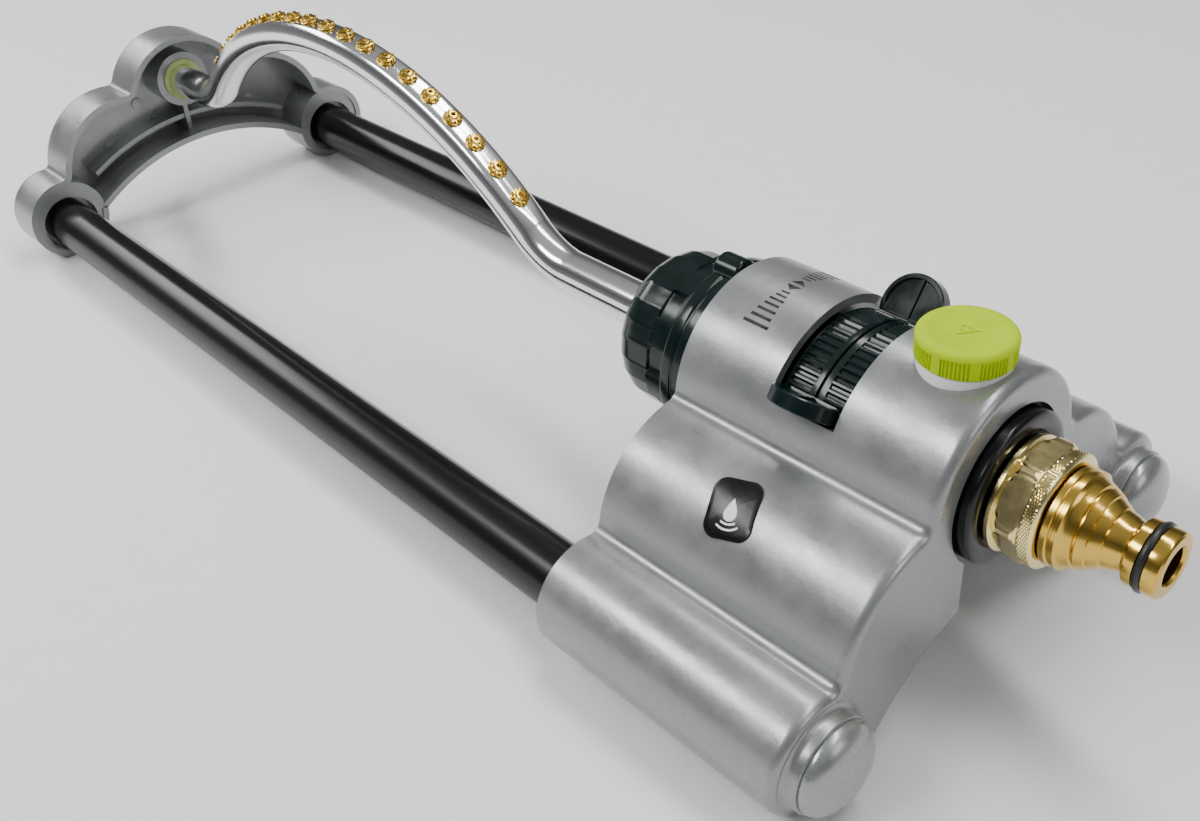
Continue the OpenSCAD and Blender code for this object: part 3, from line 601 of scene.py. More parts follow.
def soften(piece: bpy.types.Object, width: float, steps: int = 2, angle: float = 40.0) -> None:
    """Rounds a piece's sharp edges.

    Args:
        piece: The piece.
        width: Width of the rounding.
        steps: Facets across it.
        angle: Edges sharper than this many degrees are rounded.
    """
    bevel = piece.modifiers.new("rounded_edges", "BEVEL")
    bevel.width = width
    bevel.segments = steps
    bevel.limit_method = "ANGLE"
    bevel.angle_limit = math.radians(angle)
    bevel.harden_normals = False
    weighted = piece.modifiers.new("even_shading", "WEIGHTED_NORMAL")
    weighted.keep_sharp = True


def crease(piece: bpy.types.Object, angle: float = 35.0) -> None:
    """Keeps edges sharper than an angle crisp in the shading."""
    piece.data.set_sharp_from_angle(angle=math.radians(angle))


def turned(stations: Sequence[tuple[float, float | np.ndarray]], steps: int) -> np.ndarray:
    """Rows of a turned piece about its own Z.

    Args:
        stations: Places along Z, each with its radius or with its radii around.
        steps: Points around.

    Returns:
        The rows of points.
    """
    angles = around(steps)
    return np.array([
        np.stack([r * np.cos(angles), r * np.sin(angles), np.full(steps, z)], axis=1)
        for z, r in stations
    ])


def fluted(
    profile: Sequence[tuple[float, float, float]], steps: int, wave: np.ndarray
) -> np.ndarray:
    """Rows of a turned piece whose radius is cut by a wave around it.

    Args:
        profile: Places along Z, radii and depths of the cut.
        steps: Points around.
        wave: Share of the cut at each of the points.

    Returns:
        The rows of points.
    """
    return turned([(z, r - cut * wave) for z, r, cut in profile], steps)


def around(steps: int) -> np.ndarray:
    """Evenly spaced angles once around."""
    return np.linspace(0.0, 2.0 * math.pi, steps, endpoint=False)


# ---------------------------------------------------------------- castings


@dataclass(frozen=True)
class Lobe:
    """A round lobe of a casting's outline."""

    y: float
    z: float
    r: float

    @property
    def centre(self) -> np.ndarray:
        """Its centre across the rails."""
        return np.array([self.y, self.z])


def crossing(a: Lobe, b: Lobe, left: bool) -> np.ndarray:
    """Where two circles cross.

    Args:
        a: One circle.
        b: The other.
        left: Whether to take the crossing on the left of the way from a to b.

    Returns:
        The crossing point.
    """
    way = b.centre - a.centre
    d = float(np.hypot(*way))
    along = (a.r**2 - b.r**2 + d * d) / (2 * d)
    aside = math.sqrt(max(a.r**2 - along**2, 0.0)) * (1.0 if left else -1.0)
    unit = way / d
    return a.centre + along * unit + aside * np.array([-unit[1], unit[0]])


@dataclass
class Outline:
    """A smooth chain of lobes and the small fillets between them.

    The chain runs clockwise seen from the hose, so the casting lies on its right.
    """

    lobes: list[Lobe]
    blend: float
    start: np.ndarray
    end: np.ndarray
    step: float = 0.9 * MM
    stops: tuple[tuple[int, float], ...] = ()

    def trace(self) -> tuple[np.ndarray, np.ndarray]:
        """Samples the chain.

        Returns:
            Its points and their outward normals, each as an array of (y, z).
        """
        joints = []
        for a, b in zip(self.lobes, self.lobes[1:]):
            wide_a = Lobe(a.y, a.z, a.r + self.blend)
            wide_b = Lobe(b.y, b.z, b.r + self.blend)
            joints.append(crossing(wide_a, wide_b, left=True))
        points, normals = [], []
        for i, lobe in enumerate(self.lobes):
            first = self.start if i == 0 else joints[i - 1]
            last = self.end if i == len(self.lobes) - 1 else joints[i]
            stops = [a for n, a in self.stops if n == i]
            self._arc(points, normals, lobe.centre, lobe.r, first, last, False, stops)
            if i < len(joints):
                centre, following = joints[i], self.lobes[i + 1]
                self._arc(
                    points, normals, centre, self.blend, lobe.centre, following.centre, True, []
                )
        return np.array(points), np.array(normals)

    def _arc(
        self,
        points: list[np.ndarray],
        normals: list[np.ndarray],
        centre: np.ndarray,
        radius: float,
        first: np.ndarray,
        last: np.ndarray,
        hollow: bool,
        stops: Sequence[float],
    ) -> None:
        """Adds one arc's samples.

        Args:
            points: Gets the points.
            normals: Gets the outward normals.
            centre: The arc's centre.
            radius: Its radius.
            first: A point in the direction where it starts.
            last: A point in the direction where it ends.
            hollow: Whether it is a fillet, which turns the other way.
            stops: Angles that must have a sample of their own.
        """
        turn = 2.0 * math.pi
        a0 = math.atan2(*(first - centre)[::-1])
        a1 = math.atan2(*(last - centre)[::-1])
        sweep = (a1 - a0) % turn if hollow else -((a0 - a1) % turn)
        marks = sorted(((a0 - s) % turn) for s in stops) if not hollow else []
        parts = [0.0, *[m for m in marks if m < abs(sweep)], abs(sweep)]
        angles = [0.0]
        for low, high in zip(parts, parts[1:]):
            count = max(int(math.ceil((high - low) * radius / self.step)), 3)
            angles.extend(np.linspace(low, high, count + 1)[1:])
        for t in angles:
            a = a0 + math.copysign(t, sweep)
            way = np.array([math.cos(a), math.sin(a)])
            point = centre + radius * way
            if points and np.hypot(*(points[-1] - point)) < 1e-7:
                continue
            points.append(point)
            normals.append(-way if hollow else way)


@dataclass
class ShellCasting:
    """A thin casting: a scalloped skin closed by a plate at one end."""

    outline: Outline
    plate_x: float
    toward: float
    depth: float
    wall: float
    plate: float
    edge: float
    under: np.ndarray
    window: tuple[float, float, float, float] | None = None

    def mesh(self) -> Mesh:
        """Builds the casting.

        Returns:
            Its closed mesh.
        """
        made = Mesh()
        points, normals = self.outline.trace()
        stations, rounded = self._stations(), self._edge_rows()
        times = [t for t, _ in rounded] + stations
        outer = [self._row(made, points - normals * inset, t) for t, inset in rounded]
        outer += [self._row(made, points, t) for t in stations]
        inner_at = [self.plate, *[t for t in stations if t > self.plate + 0.1 * MM]]
        inner = [self._row(made, points - normals * self.wall, t) for t in inner_at]
        hole = self._window_span(points)
        for rows, at in ((outer, times), (inner, inner_at)):
            for a, b, t0, t1 in zip(rows, rows[1:], at, at[1:]):
                if hole and self._beside_window(t0, t1):
                    made.strip(a[: hole[0] + 1], b[: hole[0] + 1])
                    made.strip(a[hole[1] :], b[hole[1] :])
                else:
                    made.strip(a, b)
        made.strip(outer[-1], inner[-1])
        path_front, path_back = (self._row(made, self.under, t) for t in (0.0, self.plate))
        made.fill([*outer[0], *path_front])
        made.fill([*inner[0], *path_back])
        made.strip(path_front, path_back)
        for side, at in ((0, -1), (-1, 0)):
            ring = [row[side] for row in outer] + [row[side] for row in inner[::-1]]
            made.faces.append((*ring, path_back[at], path_front[at]))
        if hole:
            self._window_walls(made, dict(zip(times, outer)), dict(zip(inner_at, inner)), hole)
        return made

    def _stations(self) -> list[float]:
        """Distances from the plate's face at which the skin has a row."""
        marks = {self.edge, self.depth, max(self.plate, self.edge)}
        if self.window:
            marks |= set(self.window[:2])
        ordered = sorted(marks)
        rows = [ordered[0]]
        for low, high in zip(ordered, ordered[1:]):
            count = max(int(round((high - low) / (6 * MM))), 1)
            rows.extend(np.linspace(low, high, count + 1)[1:])
        return rows

    def _edge_rows(self) -> list[tuple[float, float]]:
        """Distance and inset of each row round the plate's rounded edge."""
        return [
            (self.edge * (1 - math.sin(a)), self.edge * (1 - math.cos(a)))
            for a in np.linspace(math.pi / 2, 0.0, 8)[:-1]
        ]

    def _row(self, made: Mesh, flat: np.ndarray, t: float) -> list[int]:
        """Adds points given across the rails, at a distance from the plate's face."""
        return made.add(raised(flat, self.plate_x + self.toward * t))

    def _window_span(self, points: np.ndarray) -> tuple[int, int] | None:
        """First and last outline sample of the window, if there is one."""
        if self.window is None:
            return None
        top = [lobe for lobe in self.outline.lobes if abs(lobe.y) < 1e-6][0]
        angles = np.degrees(np.arctan2(points[:, 0], points[:, 1] - top.z))
        on_top = np.abs(np.hypot(points[:, 0], points[:, 1] - top.z) - top.r) < 1e-6
        inside = np.where(
            on_top & (angles > self.window[2] - 0.01) & (angles < self.window[3] + 0.01)
        )[0]
        return int(inside[0]), int(inside[-1])

    def _beside_window(self, t0: float, t1: float) -> bool:
        """Whether the skin between two distances is open at the window."""
        return t0 > self.window[0] - 0.01 * MM and t1 < self.window[1] + 0.01 * MM

    def _window_walls(
        self,
        made: Mesh,
        outer: dict[float, list[int]],
        inner: dict[float, list[int]],
        hole: tuple[int, int],
    ) -> None:
        """Closes the window's four sides between the skin's two faces.

        Args:
            made: The mesh.
            outer: The outer face's rows by distance.
            inner: The inner face's rows by distance.
            hole: First and last sample of the window.
        """
        first, last = hole
        low, high = self.window[0] - 1e-6, self.window[1] + 1e-6
        shared = [t for t in sorted(outer) if low <= t <= high and t in inner]
        for t in (shared[0], shared[-1]):
            made.strip(outer[t][first : last + 1], inner[t][first : last + 1])
        for at in (first, last):
            made.strip([outer[t][at] for t in shared], [inner[t][at] for t in shared])


def raised(flat: np.ndarray, x: float) -> np.ndarray:
    """Gives points across the rails their place along X."""
    return np.hstack([np.full((len(flat), 1), x), flat])


def arc_points(circle: Lobe, start: float, stop: float) -> np.ndarray:
    """Samples an arc of a circle about every 1.5 mm.

    Args:
        circle: The circle.
        start: First angle, in radians from +Y.
        stop: Last angle.

    Returns:
        The points, as an array of (y, z).
    """
    count = max(int(abs(stop - start) * circle.r / (1.5 * MM)), 4)
    angles = np.linspace(start, stop, count + 1)
    return circle.centre + circle.r * np.stack([np.cos(angles), np.sin(angles)], axis=1)


# ---------------------------------------------------------------- shared layout


@dataclass(frozen=True)
class Layout:
    """Sizes that several sub-assemblies share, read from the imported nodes."""

    axis_z: float
    rail_y: float
    rail_z: float
    lobe_r: float
    lobe_z: float
    arch_r: float
    housing_back: float
    housing_front: float
    foot_back: float
    foot_front: float
    nose: float = 3.8 * MM
    pad: float = 0.4 * MM

    @classmethod
    def from_frame(cls) -> "Layout":
        """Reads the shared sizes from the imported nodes' boxes.

        Returns:
            The layout.
        """
        housing_low, housing_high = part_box("motor_housing")
        rail_low, rail_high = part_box("rail_far")
        barrel_low, barrel_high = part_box("motor_barrel")
        foot_low, foot_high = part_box("end_foot")
        rail_y = (rail_low.y + rail_high.y) / 2
        axis_z = (barrel_low.z + barrel_high.z) / 2
        lobe_r = housing_high.y - rail_y
        return cls(
            axis_z=axis_z,
            rail_y=rail_y,
            rail_z=(rail_low.z + rail_high.z) / 2,
            lobe_r=lobe_r,
            lobe_z=lobe_r - cls.pad,
            arch_r=housing_high.z - axis_z,
            housing_back=housing_low.x,
            housing_front=housing_high.x - cls.nose,
            foot_back=foot_low.x,
            foot_front=foot_high.x,
        )

    def lobe(self, side: int) -> Lobe:
        """The lobe round one rail."""
        return Lobe(side * self.rail_y, self.lobe_z, self.lobe_r)


def ring_between(
    made: Mesh, x0: float, x1: float, outer: Lobe, inner: Lobe, steps: int = 96
) -> None:
    """Adds a ring along X whose bore may sit off its centre.

    Args:
        made: The mesh.
        x0: Where it starts.
        x1: Where it ends.
        outer: Its outer circle.
        inner: Its bore.
        steps: Points around.
    """
    way = np.stack([np.cos(around(steps)), np.sin(around(steps))], axis=1)
    rows = [
        made.add(raised(circle.centre + circle.r * way, x))
        for x, circle in ((x0, outer), (x1, outer), (x1, inner), (x0, inner))
    ]
    for a, b in zip(rows, rows[1:] + rows[:1]):
        made.strip(a, b, closed=True)


def void_arc(half: float, rise: float, spring: float) -> Lobe:
    """Circle through the crown and the feet of a casting's underside arch.

    Args:
        half: Half its width at the feet.
        rise: Height of its crown.
        spring: Height of its feet.

    Returns:
        The circle.
    """
    sagitta = rise - spring
    radius = (half**2 + sagitta**2) / (2 * sagitta)
    return Lobe(0.0, rise - radius, radius)


@dataclass
class Maker:
    """A sub-assembly: the shared layout, the finishes and the way it makes a piece."""

    layout: Layout
    palette: Palette

    def piece(
        self, made: Mesh, name: str, slot: str, body: str, *nodes: str, look: str = ""
    ) -> bpy.types.Object:
        """Builds a piece, finishes it and ties it to its body.

        Args:
            made: Its mesh.
            name: Its name.
            slot: The record's material slot.
            body: The body it rides on.
            nodes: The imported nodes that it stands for.
            look: Its finish, where it isn't the slot's own.

        Returns:
            The piece.
        """
        piece = made.build(name, self.palette.material(look or slot))
        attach(piece, body)
        if nodes:
            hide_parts(*nodes)
        return piece

    def axis(self, x: float, rise: float = 0.0) -> Matrix:
        """Lays a turned body along the spray axis from a station."""
        return along_x(x, 0.0, self.layout.axis_z + rise)

    def rail_sockets(
        self, made: Mesh, inset: float, spans: Sequence[tuple[float, float, float]]
    ) -> None:
        """Adds the rings that hold both rails.

        Args:
            made: The casting's mesh.
            inset: How far the rings stay inside the lobe.
            spans: Start, end and bore radius of each ring.
        """
        for side in (-1, 1):
            lobe = self.layout.lobe(side)
            solid = Lobe(lobe.y, lobe.z, lobe.r - inset)
            for x0, x1, bore in spans:
                ring_between(made, x0, x1, solid, Lobe(lobe.y, self.layout.rail_z, bore))


@dataclass
class MotorHousing(Maker):
    """The larger casting: shell, front wall, window, rail sockets and noses."""

    shoulder_y: float = 28 * MM
    shoulder_z: float = 28.5 * MM
    shoulder_r: float = 30.5 * MM
    blend: float = 3.2 * MM
    wall: float = 2.5 * MM
    front_wall: float = 3 * MM
    edge: float = 2.6 * MM
    window_from_back: float = 29 * MM
    window_length: float = 20 * MM
    window_angle: float = 62.0
    arch_half: float = 50 * MM
    arch_rise: float = 27 * MM
    hole_r: float = 21 * MM
    slot_half: float = 14 * MM
    socket_length: float = 24 * MM
    nose_r: float = 13 * MM

    def lobes(self) -> list[Lobe]:
        """The outline's lobes, from the near side's underside to the far side's."""
        sides = [Lobe(s * self.shoulder_y, self.shoulder_z, self.shoulder_r) for s in (-1, 1)]
        arch = Lobe(0.0, self.layout.axis_z, self.layout.arch_r)
        near, far = self.layout.lobe(-1), self.layout.lobe(1)
        return [sides[0], near, sides[0], arch, sides[1], far, sides[1]]

    def build(self) -> None:
        """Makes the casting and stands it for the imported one."""
        back, front = self.layout.housing_back, self.layout.housing_front
        void = void_arc(self.arch_half, self.arch_rise, 0.0)
        lobes = self.lobes()
        start = min(
            (crossing(void, lobes[0], left) for left in (False, True)), key=lambda p: p[0]
        )
        end = np.array([-start[0], start[1]])
        stops = tuple((3, math.radians(90 + s * self.window_angle)) for s in (1, -1))
        window_far = front - back - self.window_from_back
        made = ShellCasting(
            outline=Outline(lobes, self.blend, start, end, stops=stops),
            plate_x=front,
            toward=-1.0,
            depth=front - back,
            wall=self.wall,
            plate=self.front_wall,
            edge=self.edge,
            under=self._front_opening(void, end),
            window=(
                window_far - self.window_length,
                window_far,
                -self.window_angle,
                self.window_angle,
            ),
        ).mesh()
        mouth, deep = back + MOUTH_DEPTH, back + self.socket_length
        spans = [(back + 0.8 * MM, mouth, MOUTH_R), (mouth, deep, RAIL_BORE_R)]
        self.rail_sockets(made, 1.0 * MM, spans)
        self._noses(made)
        made.rest_on_floor()
        piece = self.piece(made, "housing_casting", "painted_casting", "base", "motor_housing")
        soften(piece, 0.7 * MM, steps=3, angle=50.0)

    def _front_opening(self, void: Lobe, end: np.ndarray) -> np.ndarray:
        """Lower edge of the front wall: arch, slot, round hole and arch again.

        Args:
            void: The underside arch's circle.
            end: Where the outline ends.

        Returns:
            The points from the outline's end to its start.
        """
        a_end = math.atan2(end[1] - void.z, end[0])
        a_slot = math.acos(self.slot_half / void.r)
        a_hole = -math.acos(self.slot_half / self.hole_r)
        hole = Lobe(0.0, self.layout.axis_z, self.hole_r)
        return np.vstack([
            arc_points(void, a_end, a_slot),
            arc_points(hole, a_hole, math.pi - a_hole),
            arc_points(void, math.pi - a_slot, math.pi - a_end),
        ])

    def _noses(self, made: Mesh) -> None:
        """Adds the flared noses that carry the end caps."""
        r, nose, small = self.nose_r, self.layout.nose, 0.4 * MM
        flare = [
            (0.0, 0.0), (0.0, r + 1.6 * MM), (0.35 * MM, r + 0.75 * MM),
            (0.9 * MM, r + 0.25 * MM), (1.7 * MM, r), (nose - small, r), (nose, r - small),
            (nose, 0.0),
        ]
        for side in (-1, 1):
            lobe = self.layout.lobe(side)
            made.revolve(flare, along_x(self.layout.housing_front - 0.02 * MM, lobe.y, lobe.z))


@dataclass
class EndFoot(Maker):
    """The smaller casting that holds the rails' far ends and the tube's pivot."""

    shoulder_y: float = 32 * MM
    shoulder_z: float = 28.5 * MM
    shoulder_r: float = 30 * MM
    top_r: float = 27 * MM
    top_drop: float = 8 * MM
    blend: float = 2.6 * MM
    wall: float = 2.5 * MM
    edge: float = 2.0 * MM
    arch_half: float = 50 * MM
    arch_rise: float = 30 * MM
    arch_spring: float = 14 * MM
    boss_r: float = 11.5 * MM
    boss_short: float = 3 * MM
    bush_r: float = 8.51 * MM
    rib_gap: float = 7.5 * MM
    rib: float = 2 * MM
    sink: float = 0.3 * MM
    band_points: int = 90
    ejector_marks: tuple[tuple[float, float], ...] = (
        (-34.0, 33.0), (34.0, 33.0), (-17.0, 47.0), (17.0, 47.0),
    )

    def build(self) -> None:
        """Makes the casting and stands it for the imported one."""
        back, front = self.layout.foot_back, self.layout.foot_front
        void = void_arc(self.arch_half, self.arch_rise, self.arch_spring)
        near, far = self.layout.lobe(-1), self.layout.lobe(1)
        top = Lobe(0.0, self.layout.axis_z - self.top_drop, self.top_r)
        sides = [Lobe(s * self.shoulder_y, self.shoulder_z, self.shoulder_r) for s in (-1, 1)]
        start = max((crossing(void, near, left) for left in (False, True)), key=lambda p: p[0])
        end = np.array([-start[0], start[1]])
        a_end = math.atan2(end[1] - void.z, end[0])
        made = ShellCasting(
            outline=Outline([near, sides[0], top, sides[1], far], self.blend, start, end),
            plate_x=back,
            toward=1.0,
            depth=front - back,
            wall=self.wall,
            plate=self.wall,
            edge=self.edge,
            under=arc_points(void, a_end, math.pi - a_end),
        ).mesh()
        self._inner_walls(made, void, a_end)
        inside, mouth = back + self.wall - self.sink, front - MOUTH_DEPTH
        spans = [(inside, mouth, RAIL_BORE_R), (mouth, front - 0.7 * MM, MOUTH_R)]
        self.rail_sockets(made, 0.9 * MM, spans)
        made.rest_on_floor()
        piece = self.piece(made, "foot_casting", "painted_casting", "base", "end_foot")
        soften(piece, 0.6 * MM, steps=3, angle=50.0)

    def _inner_walls(self, made: Mesh, void: Lobe, a_end: float) -> None:
        """Adds the arch's rim, the ribs, the boss and the ejector marks.

        Args:
            made: The casting's mesh.
            void: The underside arch's circle.
            a_end: Angle at which the arch starts.
        """
        back, front = self.layout.foot_back, self.layout.foot_front
        depth, inside = front - back, back + self.wall - self.sink
        self._band(made, void, a_end, (0.0, self.wall), (back + 0.4 * MM, front))
        rib = (self.rib_gap, self.rib_gap + self.rib)
        self._band(made, void, a_end + 0.09, rib, (inside, back + depth * 0.55))
        axis_z = self.layout.axis_z
        boss, bush = Lobe(0.0, axis_z, self.boss_r), Lobe(0.0, axis_z, self.bush_r)
        ring_between(made, inside, front - self.boss_short, boss, bush)
        half, crown = self.rib / 2, void.z + void.r + self.wall - 0.5 * MM
        foot = axis_z - self.boss_r + 0.6 * MM
        corners = np.array([[-half, crown], [half, crown], [half, foot], [-half, foot]])
        rows = [made.add(raised(corners, x)) for x in (inside, back + depth * 0.6)]
        made.strip(rows[0], rows[1], closed=True)
        made.faces.extend(tuple(row) for row in rows)
        disc = [(0.0, 0.0), (0.0, 2.6 * MM), (0.75 * MM, 2.5 * MM), (0.75 * MM, 0.0)]
        for y, z in self.ejector_marks:
            made.revolve(disc, along_x(inside, y * MM, z * MM), 40)

    def _band(
        self, made: Mesh, void: Lobe, a_end: float, gap: tuple[float, float], x: tuple[float, float]
    ) -> None:
        """Adds a curved wall that follows the arch.

        Args:
            made: The mesh.
            void: The arch's circle.
            a_end: Angle at which it starts.
            gap: Distances of its two faces from the arch.
            x: Where it starts and ends along X.
        """
        rows = []
        for at, out in ((x[0], gap[0]), (x[1], gap[0]), (x[1], gap[1]), (x[0], gap[1])):
            flat = arc_points(Lobe(0.0, void.z, void.r + out), a_end, math.pi - a_end)
            pick = np.linspace(0, len(flat) - 1, self.band_points).round().astype(int)
            rows.append(made.add(raised(flat[pick], at)))
        for a, b in zip(rows, rows[1:] + rows[:1]):
            made.strip(a, b)
        for end in (0, -1):
            made.faces.append(tuple(row[end] for row in rows))


@dataclass
class EndCaps(Maker):
    """Domed caps on the housing's noses."""

    height: float = 6.4 * MM
    radius: float = 12.4 * MM
    lip: float = 0.5 * MM

    def build(self) -> None:
        """Makes both caps."""
        dome = [
            (self.lip + (self.height - self.lip) * math.sin(a), self.radius * math.cos(a))
            for a in np.linspace(0.0, math.pi / 2, 18)
        ]
        profile = [
            (-0.6 * MM, 0.0), (-0.6 * MM, self.radius - 0.5 * MM),
            (0.0, self.radius - 0.15 * MM), *dome[:-1], (self.height, 0.0),
        ]
        start = self.layout.housing_front + self.layout.nose
        for side, node in ((-1, "end_cap_near"), (1, "end_cap_far")):
            made = Mesh()
            made.revolve(
                profile, along_x(start, side * self.layout.rail_y, self.layout.lobe_z), 72
            )
            made.rest_on_floor()
            self.piece(made, f"{node}_dome", "painted_cap", "base", node)


# ---------------------------------------------------------------- spray tube


@dataclass
class SprayTube(Maker):
    """The bent tube with its flat and its row of nozzles."""

    reach_share: float = 0.362
    rise_share: float = 0.407
    curve_share: float = 1.186
    middle_share: float = 0.58
    tube_r: float = 6.35 * MM
    wall: float = 1.0 * MM
    flat_depth: float = 1.05 * MM
    flat_fade: float = 9 * MM
    flat_blend: float = 0.25 * MM
    squeeze: float = 0.05
    lean: float = 4.0
    nozzle_margin: float = 3.8
    nozzles: int = 19
    nozzle_turn: float = 0.9
    nozzle_profile: tuple[tuple[float, float, float], ...] = (
        (-0.5, 2.0, 0.0), (0.02, 3.15, 0.0), (0.35, 3.2, 0.0), (0.5, 3.05, 0.0),
        (0.55, 2.55, 0.35), (1.35, 2.55, 0.35), (1.5, 2.3, 0.2), (1.55, 2.0, 0.0),
        (2.1, 1.75, 0.0), (2.2, 1.5, 0.0), (2.2, 0.85, 0.0), (1.7, 0.5, 0.0), (-0.5, 0.45, 0.0),
    )

    def __post_init__(self) -> None:
        """Works the bends out from the free length between the castings."""
        free = self.layout.housing_back - self.layout.foot_front
        self.middle = self.layout.housing_back - self.middle_share * free
        self.reach = self.reach_share * free
        self.rise = self.rise_share * self.reach
        self.curve_r = self.curve_share * self.reach
        self.bend_r = self.reach**2 / (2 * self.rise) + self.rise / 2 - self.curve_r
        self.bend_angle = math.asin(self.reach / (self.curve_r + self.bend_r))
        self.curve_z = self.rise - self.curve_r
        low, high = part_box("spray_tube")
        self.x0, self.x1 = low.x, high.x

    def leaned(self) -> Matrix:
        """Leans with the tube about the spray axis."""
        up = Matrix.Translation((0.0, 0.0, self.layout.axis_z))
        return up @ Matrix.Rotation(math.radians(self.lean), 4, "X") @ up.inverted()

    def centre_line(self) -> np.ndarray:
        """Samples the centre line.

        Returns:
            Rows of x, height over the axis, slope and share of the flat.
        """
        left, right = self.middle - self.reach, self.middle + self.reach
        half = self.bend_angle
        rows = [(x, 0.0, 0.0, 0.0) for x in np.linspace(self.x0, left, 40)[:-1]]
        for a in np.linspace(0.0, half, 36)[:-1]:
            rows.append((left + self.bend_r * math.sin(a), self.bend_r * (1 - math.cos(a)), a, 0.0))
        for a in np.linspace(-half, half, 190):
            t = min((half - abs(a)) * self.curve_r / self.flat_fade, 1.0)
            x = self.middle + self.curve_r * math.sin(a)
            rows.append((x, self.curve_z + self.curve_r * math.cos(a), -a, t * t * (3 - 2 * t)))
        for a in np.linspace(half, 0.0, 36)[1:]:
            x = right - self.bend_r * math.sin(a)
            rows.append((x, self.bend_r * (1 - math.cos(a)), -a, 0.0))
        rows += [(x, 0.0, 0.0, 0.0) for x in np.linspace(right, self.x1, 30)[1:]]
        return np.array(rows)

    def build(self) -> None:
        """Makes the tube and its nozzles."""
        self._tube()
        self._nozzle_row()

    def _tube(self) -> None:
        """Sweeps the tube's wall along its centre line."""
        angles = around(56)
        line = self.centre_line()
        gone = np.concatenate([[0.0], np.cumsum(np.hypot(*np.diff(line[:, :2], axis=0).T))])
        made, shells = Mesh(), []
        run: list[tuple[float, float, float]] = []
        for inset in (0.0, self.wall):
            rows, radius = [], self.tube_r - inset
            for row, along in zip(line, gone):
                rows.append(self._section(row, radius, angles))
                run.extend((along, a * radius, 0.0) for a in angles)
            shells.append(made.grid(moved(np.array(rows), self.leaned()), closed=True))
        for at in (0, -1):
            made.strip(shells[0][at], shells[1][at], closed=True)
        piece = self.piece(made, "bent_tube", "bright_aluminium", "spray", "spray_tube")
        store = piece.data.attributes.new("run", "FLOAT_VECTOR", "POINT")
        store.data.foreach_set("vector", np.array(run, np.float32).ravel())
        crease(piece, 50.0)

    def _section(self, row: np.ndarray, radius: float, angles: np.ndarray) -> np.ndarray:
        """One ring of the tube, flattened on top where the nozzles sit.

        Args:
            row: A row of centre_line().
            radius: The ring's radius.
            angles: The ring's angles from its top.

        Returns:
            The ring's points, before the tube leans.
        """
        x, z, slope, flat = row
        out, side = radius * np.cos(angles), radius * np.sin(angles)
        if flat:
            limit = radius - self.flat_depth * flat
            out = limit - self.flat_blend * np.logaddexp(0.0, (limit - out) / self.flat_blend)
        elif abs(slope) >= 1e-6:
            share = min(abs(slope) / self.bend_angle, 1.0)
            out = out * (1.0 - self.squeeze * math.sin(math.pi * share))
        normal = np.array([-math.sin(slope), 0.0, math.cos(slope)])
        centre = np.array([x, 0.0, self.layout.axis_z + z])
        return centre + out[:, None] * normal + side[:, None] * np.array([0, 1.0, 0])

    def _nozzle_row(self) -> None:
        """Sets the knurled nozzles along the flat."""
        steps, teeth = 60, 10
        wave = np.where((around(steps) * teeth / (2 * math.pi)) % 1.0 < 0.5, 1.0, 0.0)
        shape = [(z * MM, (r + tooth * wave) * MM) for z, r, tooth in self.nozzle_profile]
        first = -(self.bend_angle - math.radians(self.nozzle_margin))
        step = -2 * first / (self.nozzles - 1)
        height = self.curve_r + self.tube_r - self.flat_depth
        made = Mesh()
        for i in range(self.nozzles):
            a = first + i * step
            seat = Matrix.Translation((
                self.middle + height * math.sin(a), 0.0,
                self.layout.axis_z + self.curve_z + height * math.cos(a),
            ))
            turn = Matrix.Rotation(a, 4, "Y") @ Matrix.Rotation(self.nozzle_turn * i, 4, "Z")
            made.ring(turned(shape, steps), self.leaned() @ seat @ turn)
        nodes = [f"nozzle_{i:02d}" for i in range(1, self.nozzles + 1)]
        crease(self.piece(made, "nozzle_row", "brass", "spray", *nodes), 32.0)


# ---------------------------------------------------------------- motor


def block_wave(steps: int, count: int, share: float, soft: float) -> np.ndarray:
    """One where a repeated cut is open, zero between the cuts.

    Args:
        steps: Points around.
        count: Number of cuts.
        share: Share of each repeat that is cut.
        soft: Share of each repeat over which the cut slopes.

    Returns:
        The wave's value at each point.
    """
    at = (np.arange(steps) * count / steps) % 1.0
    off = np.abs(at - 0.5) - share / 2
    return np.clip(0.5 - off / soft, 0.0, 1.0)


@dataclass
class NoseBoot(Maker):
    """The domed, fluted boot that turns with the tube."""

    dome: float = 9.0 * MM
    flute: float = 0.2 * MM
    facets: int = 24
    facet_points: int = 12

    def build(self) -> None:
        """Makes the boot."""
        low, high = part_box("nose_boot")
        outer, length = (high.z - low.z) / 2, high.x - low.x
        dome, inner = self.dome, outer - 2.5 * MM
        front = [(0.6 * MM, 6.5 * MM), (0.0, 7.1 * MM)]
        front += [
            (dome * (1 - math.sin(a)), outer - dome + dome * math.cos(a))
            for a in np.linspace(0.0, math.pi / 2, 14)[::-1]
        ]
        profile = [(z, r, self.flute * min(1.0, z / (4 * MM))) for z, r in front]
        profile += [
            (length * 0.8, outer, self.flute), (length - 0.5 * MM, outer, self.flute),
            (length, outer - 0.6 * MM, 0.0), (length, inner, 0.0), (dome, inner, 0.0),
            (dome, 9.6 * MM, 0.0), (length, 9.6 * MM, 0.0), (length, 6.5 * MM, 0.0),
        ]
        steps = self.facets * self.facet_points
        turn = (np.arange(steps) / self.facet_points) % 1.0 - 0.5
        made = Mesh()
        place = along_x(low.x, 0.0, (low.z + high.z) / 2)
        made.ring(fluted(profile, steps, 1.0 - np.abs(turn * 2.0) ** 2.4), place)
        piece = self.piece(made, "fluted_boot", "dark_green_plastic", "spray", "nose_boot")
        crease(piece)


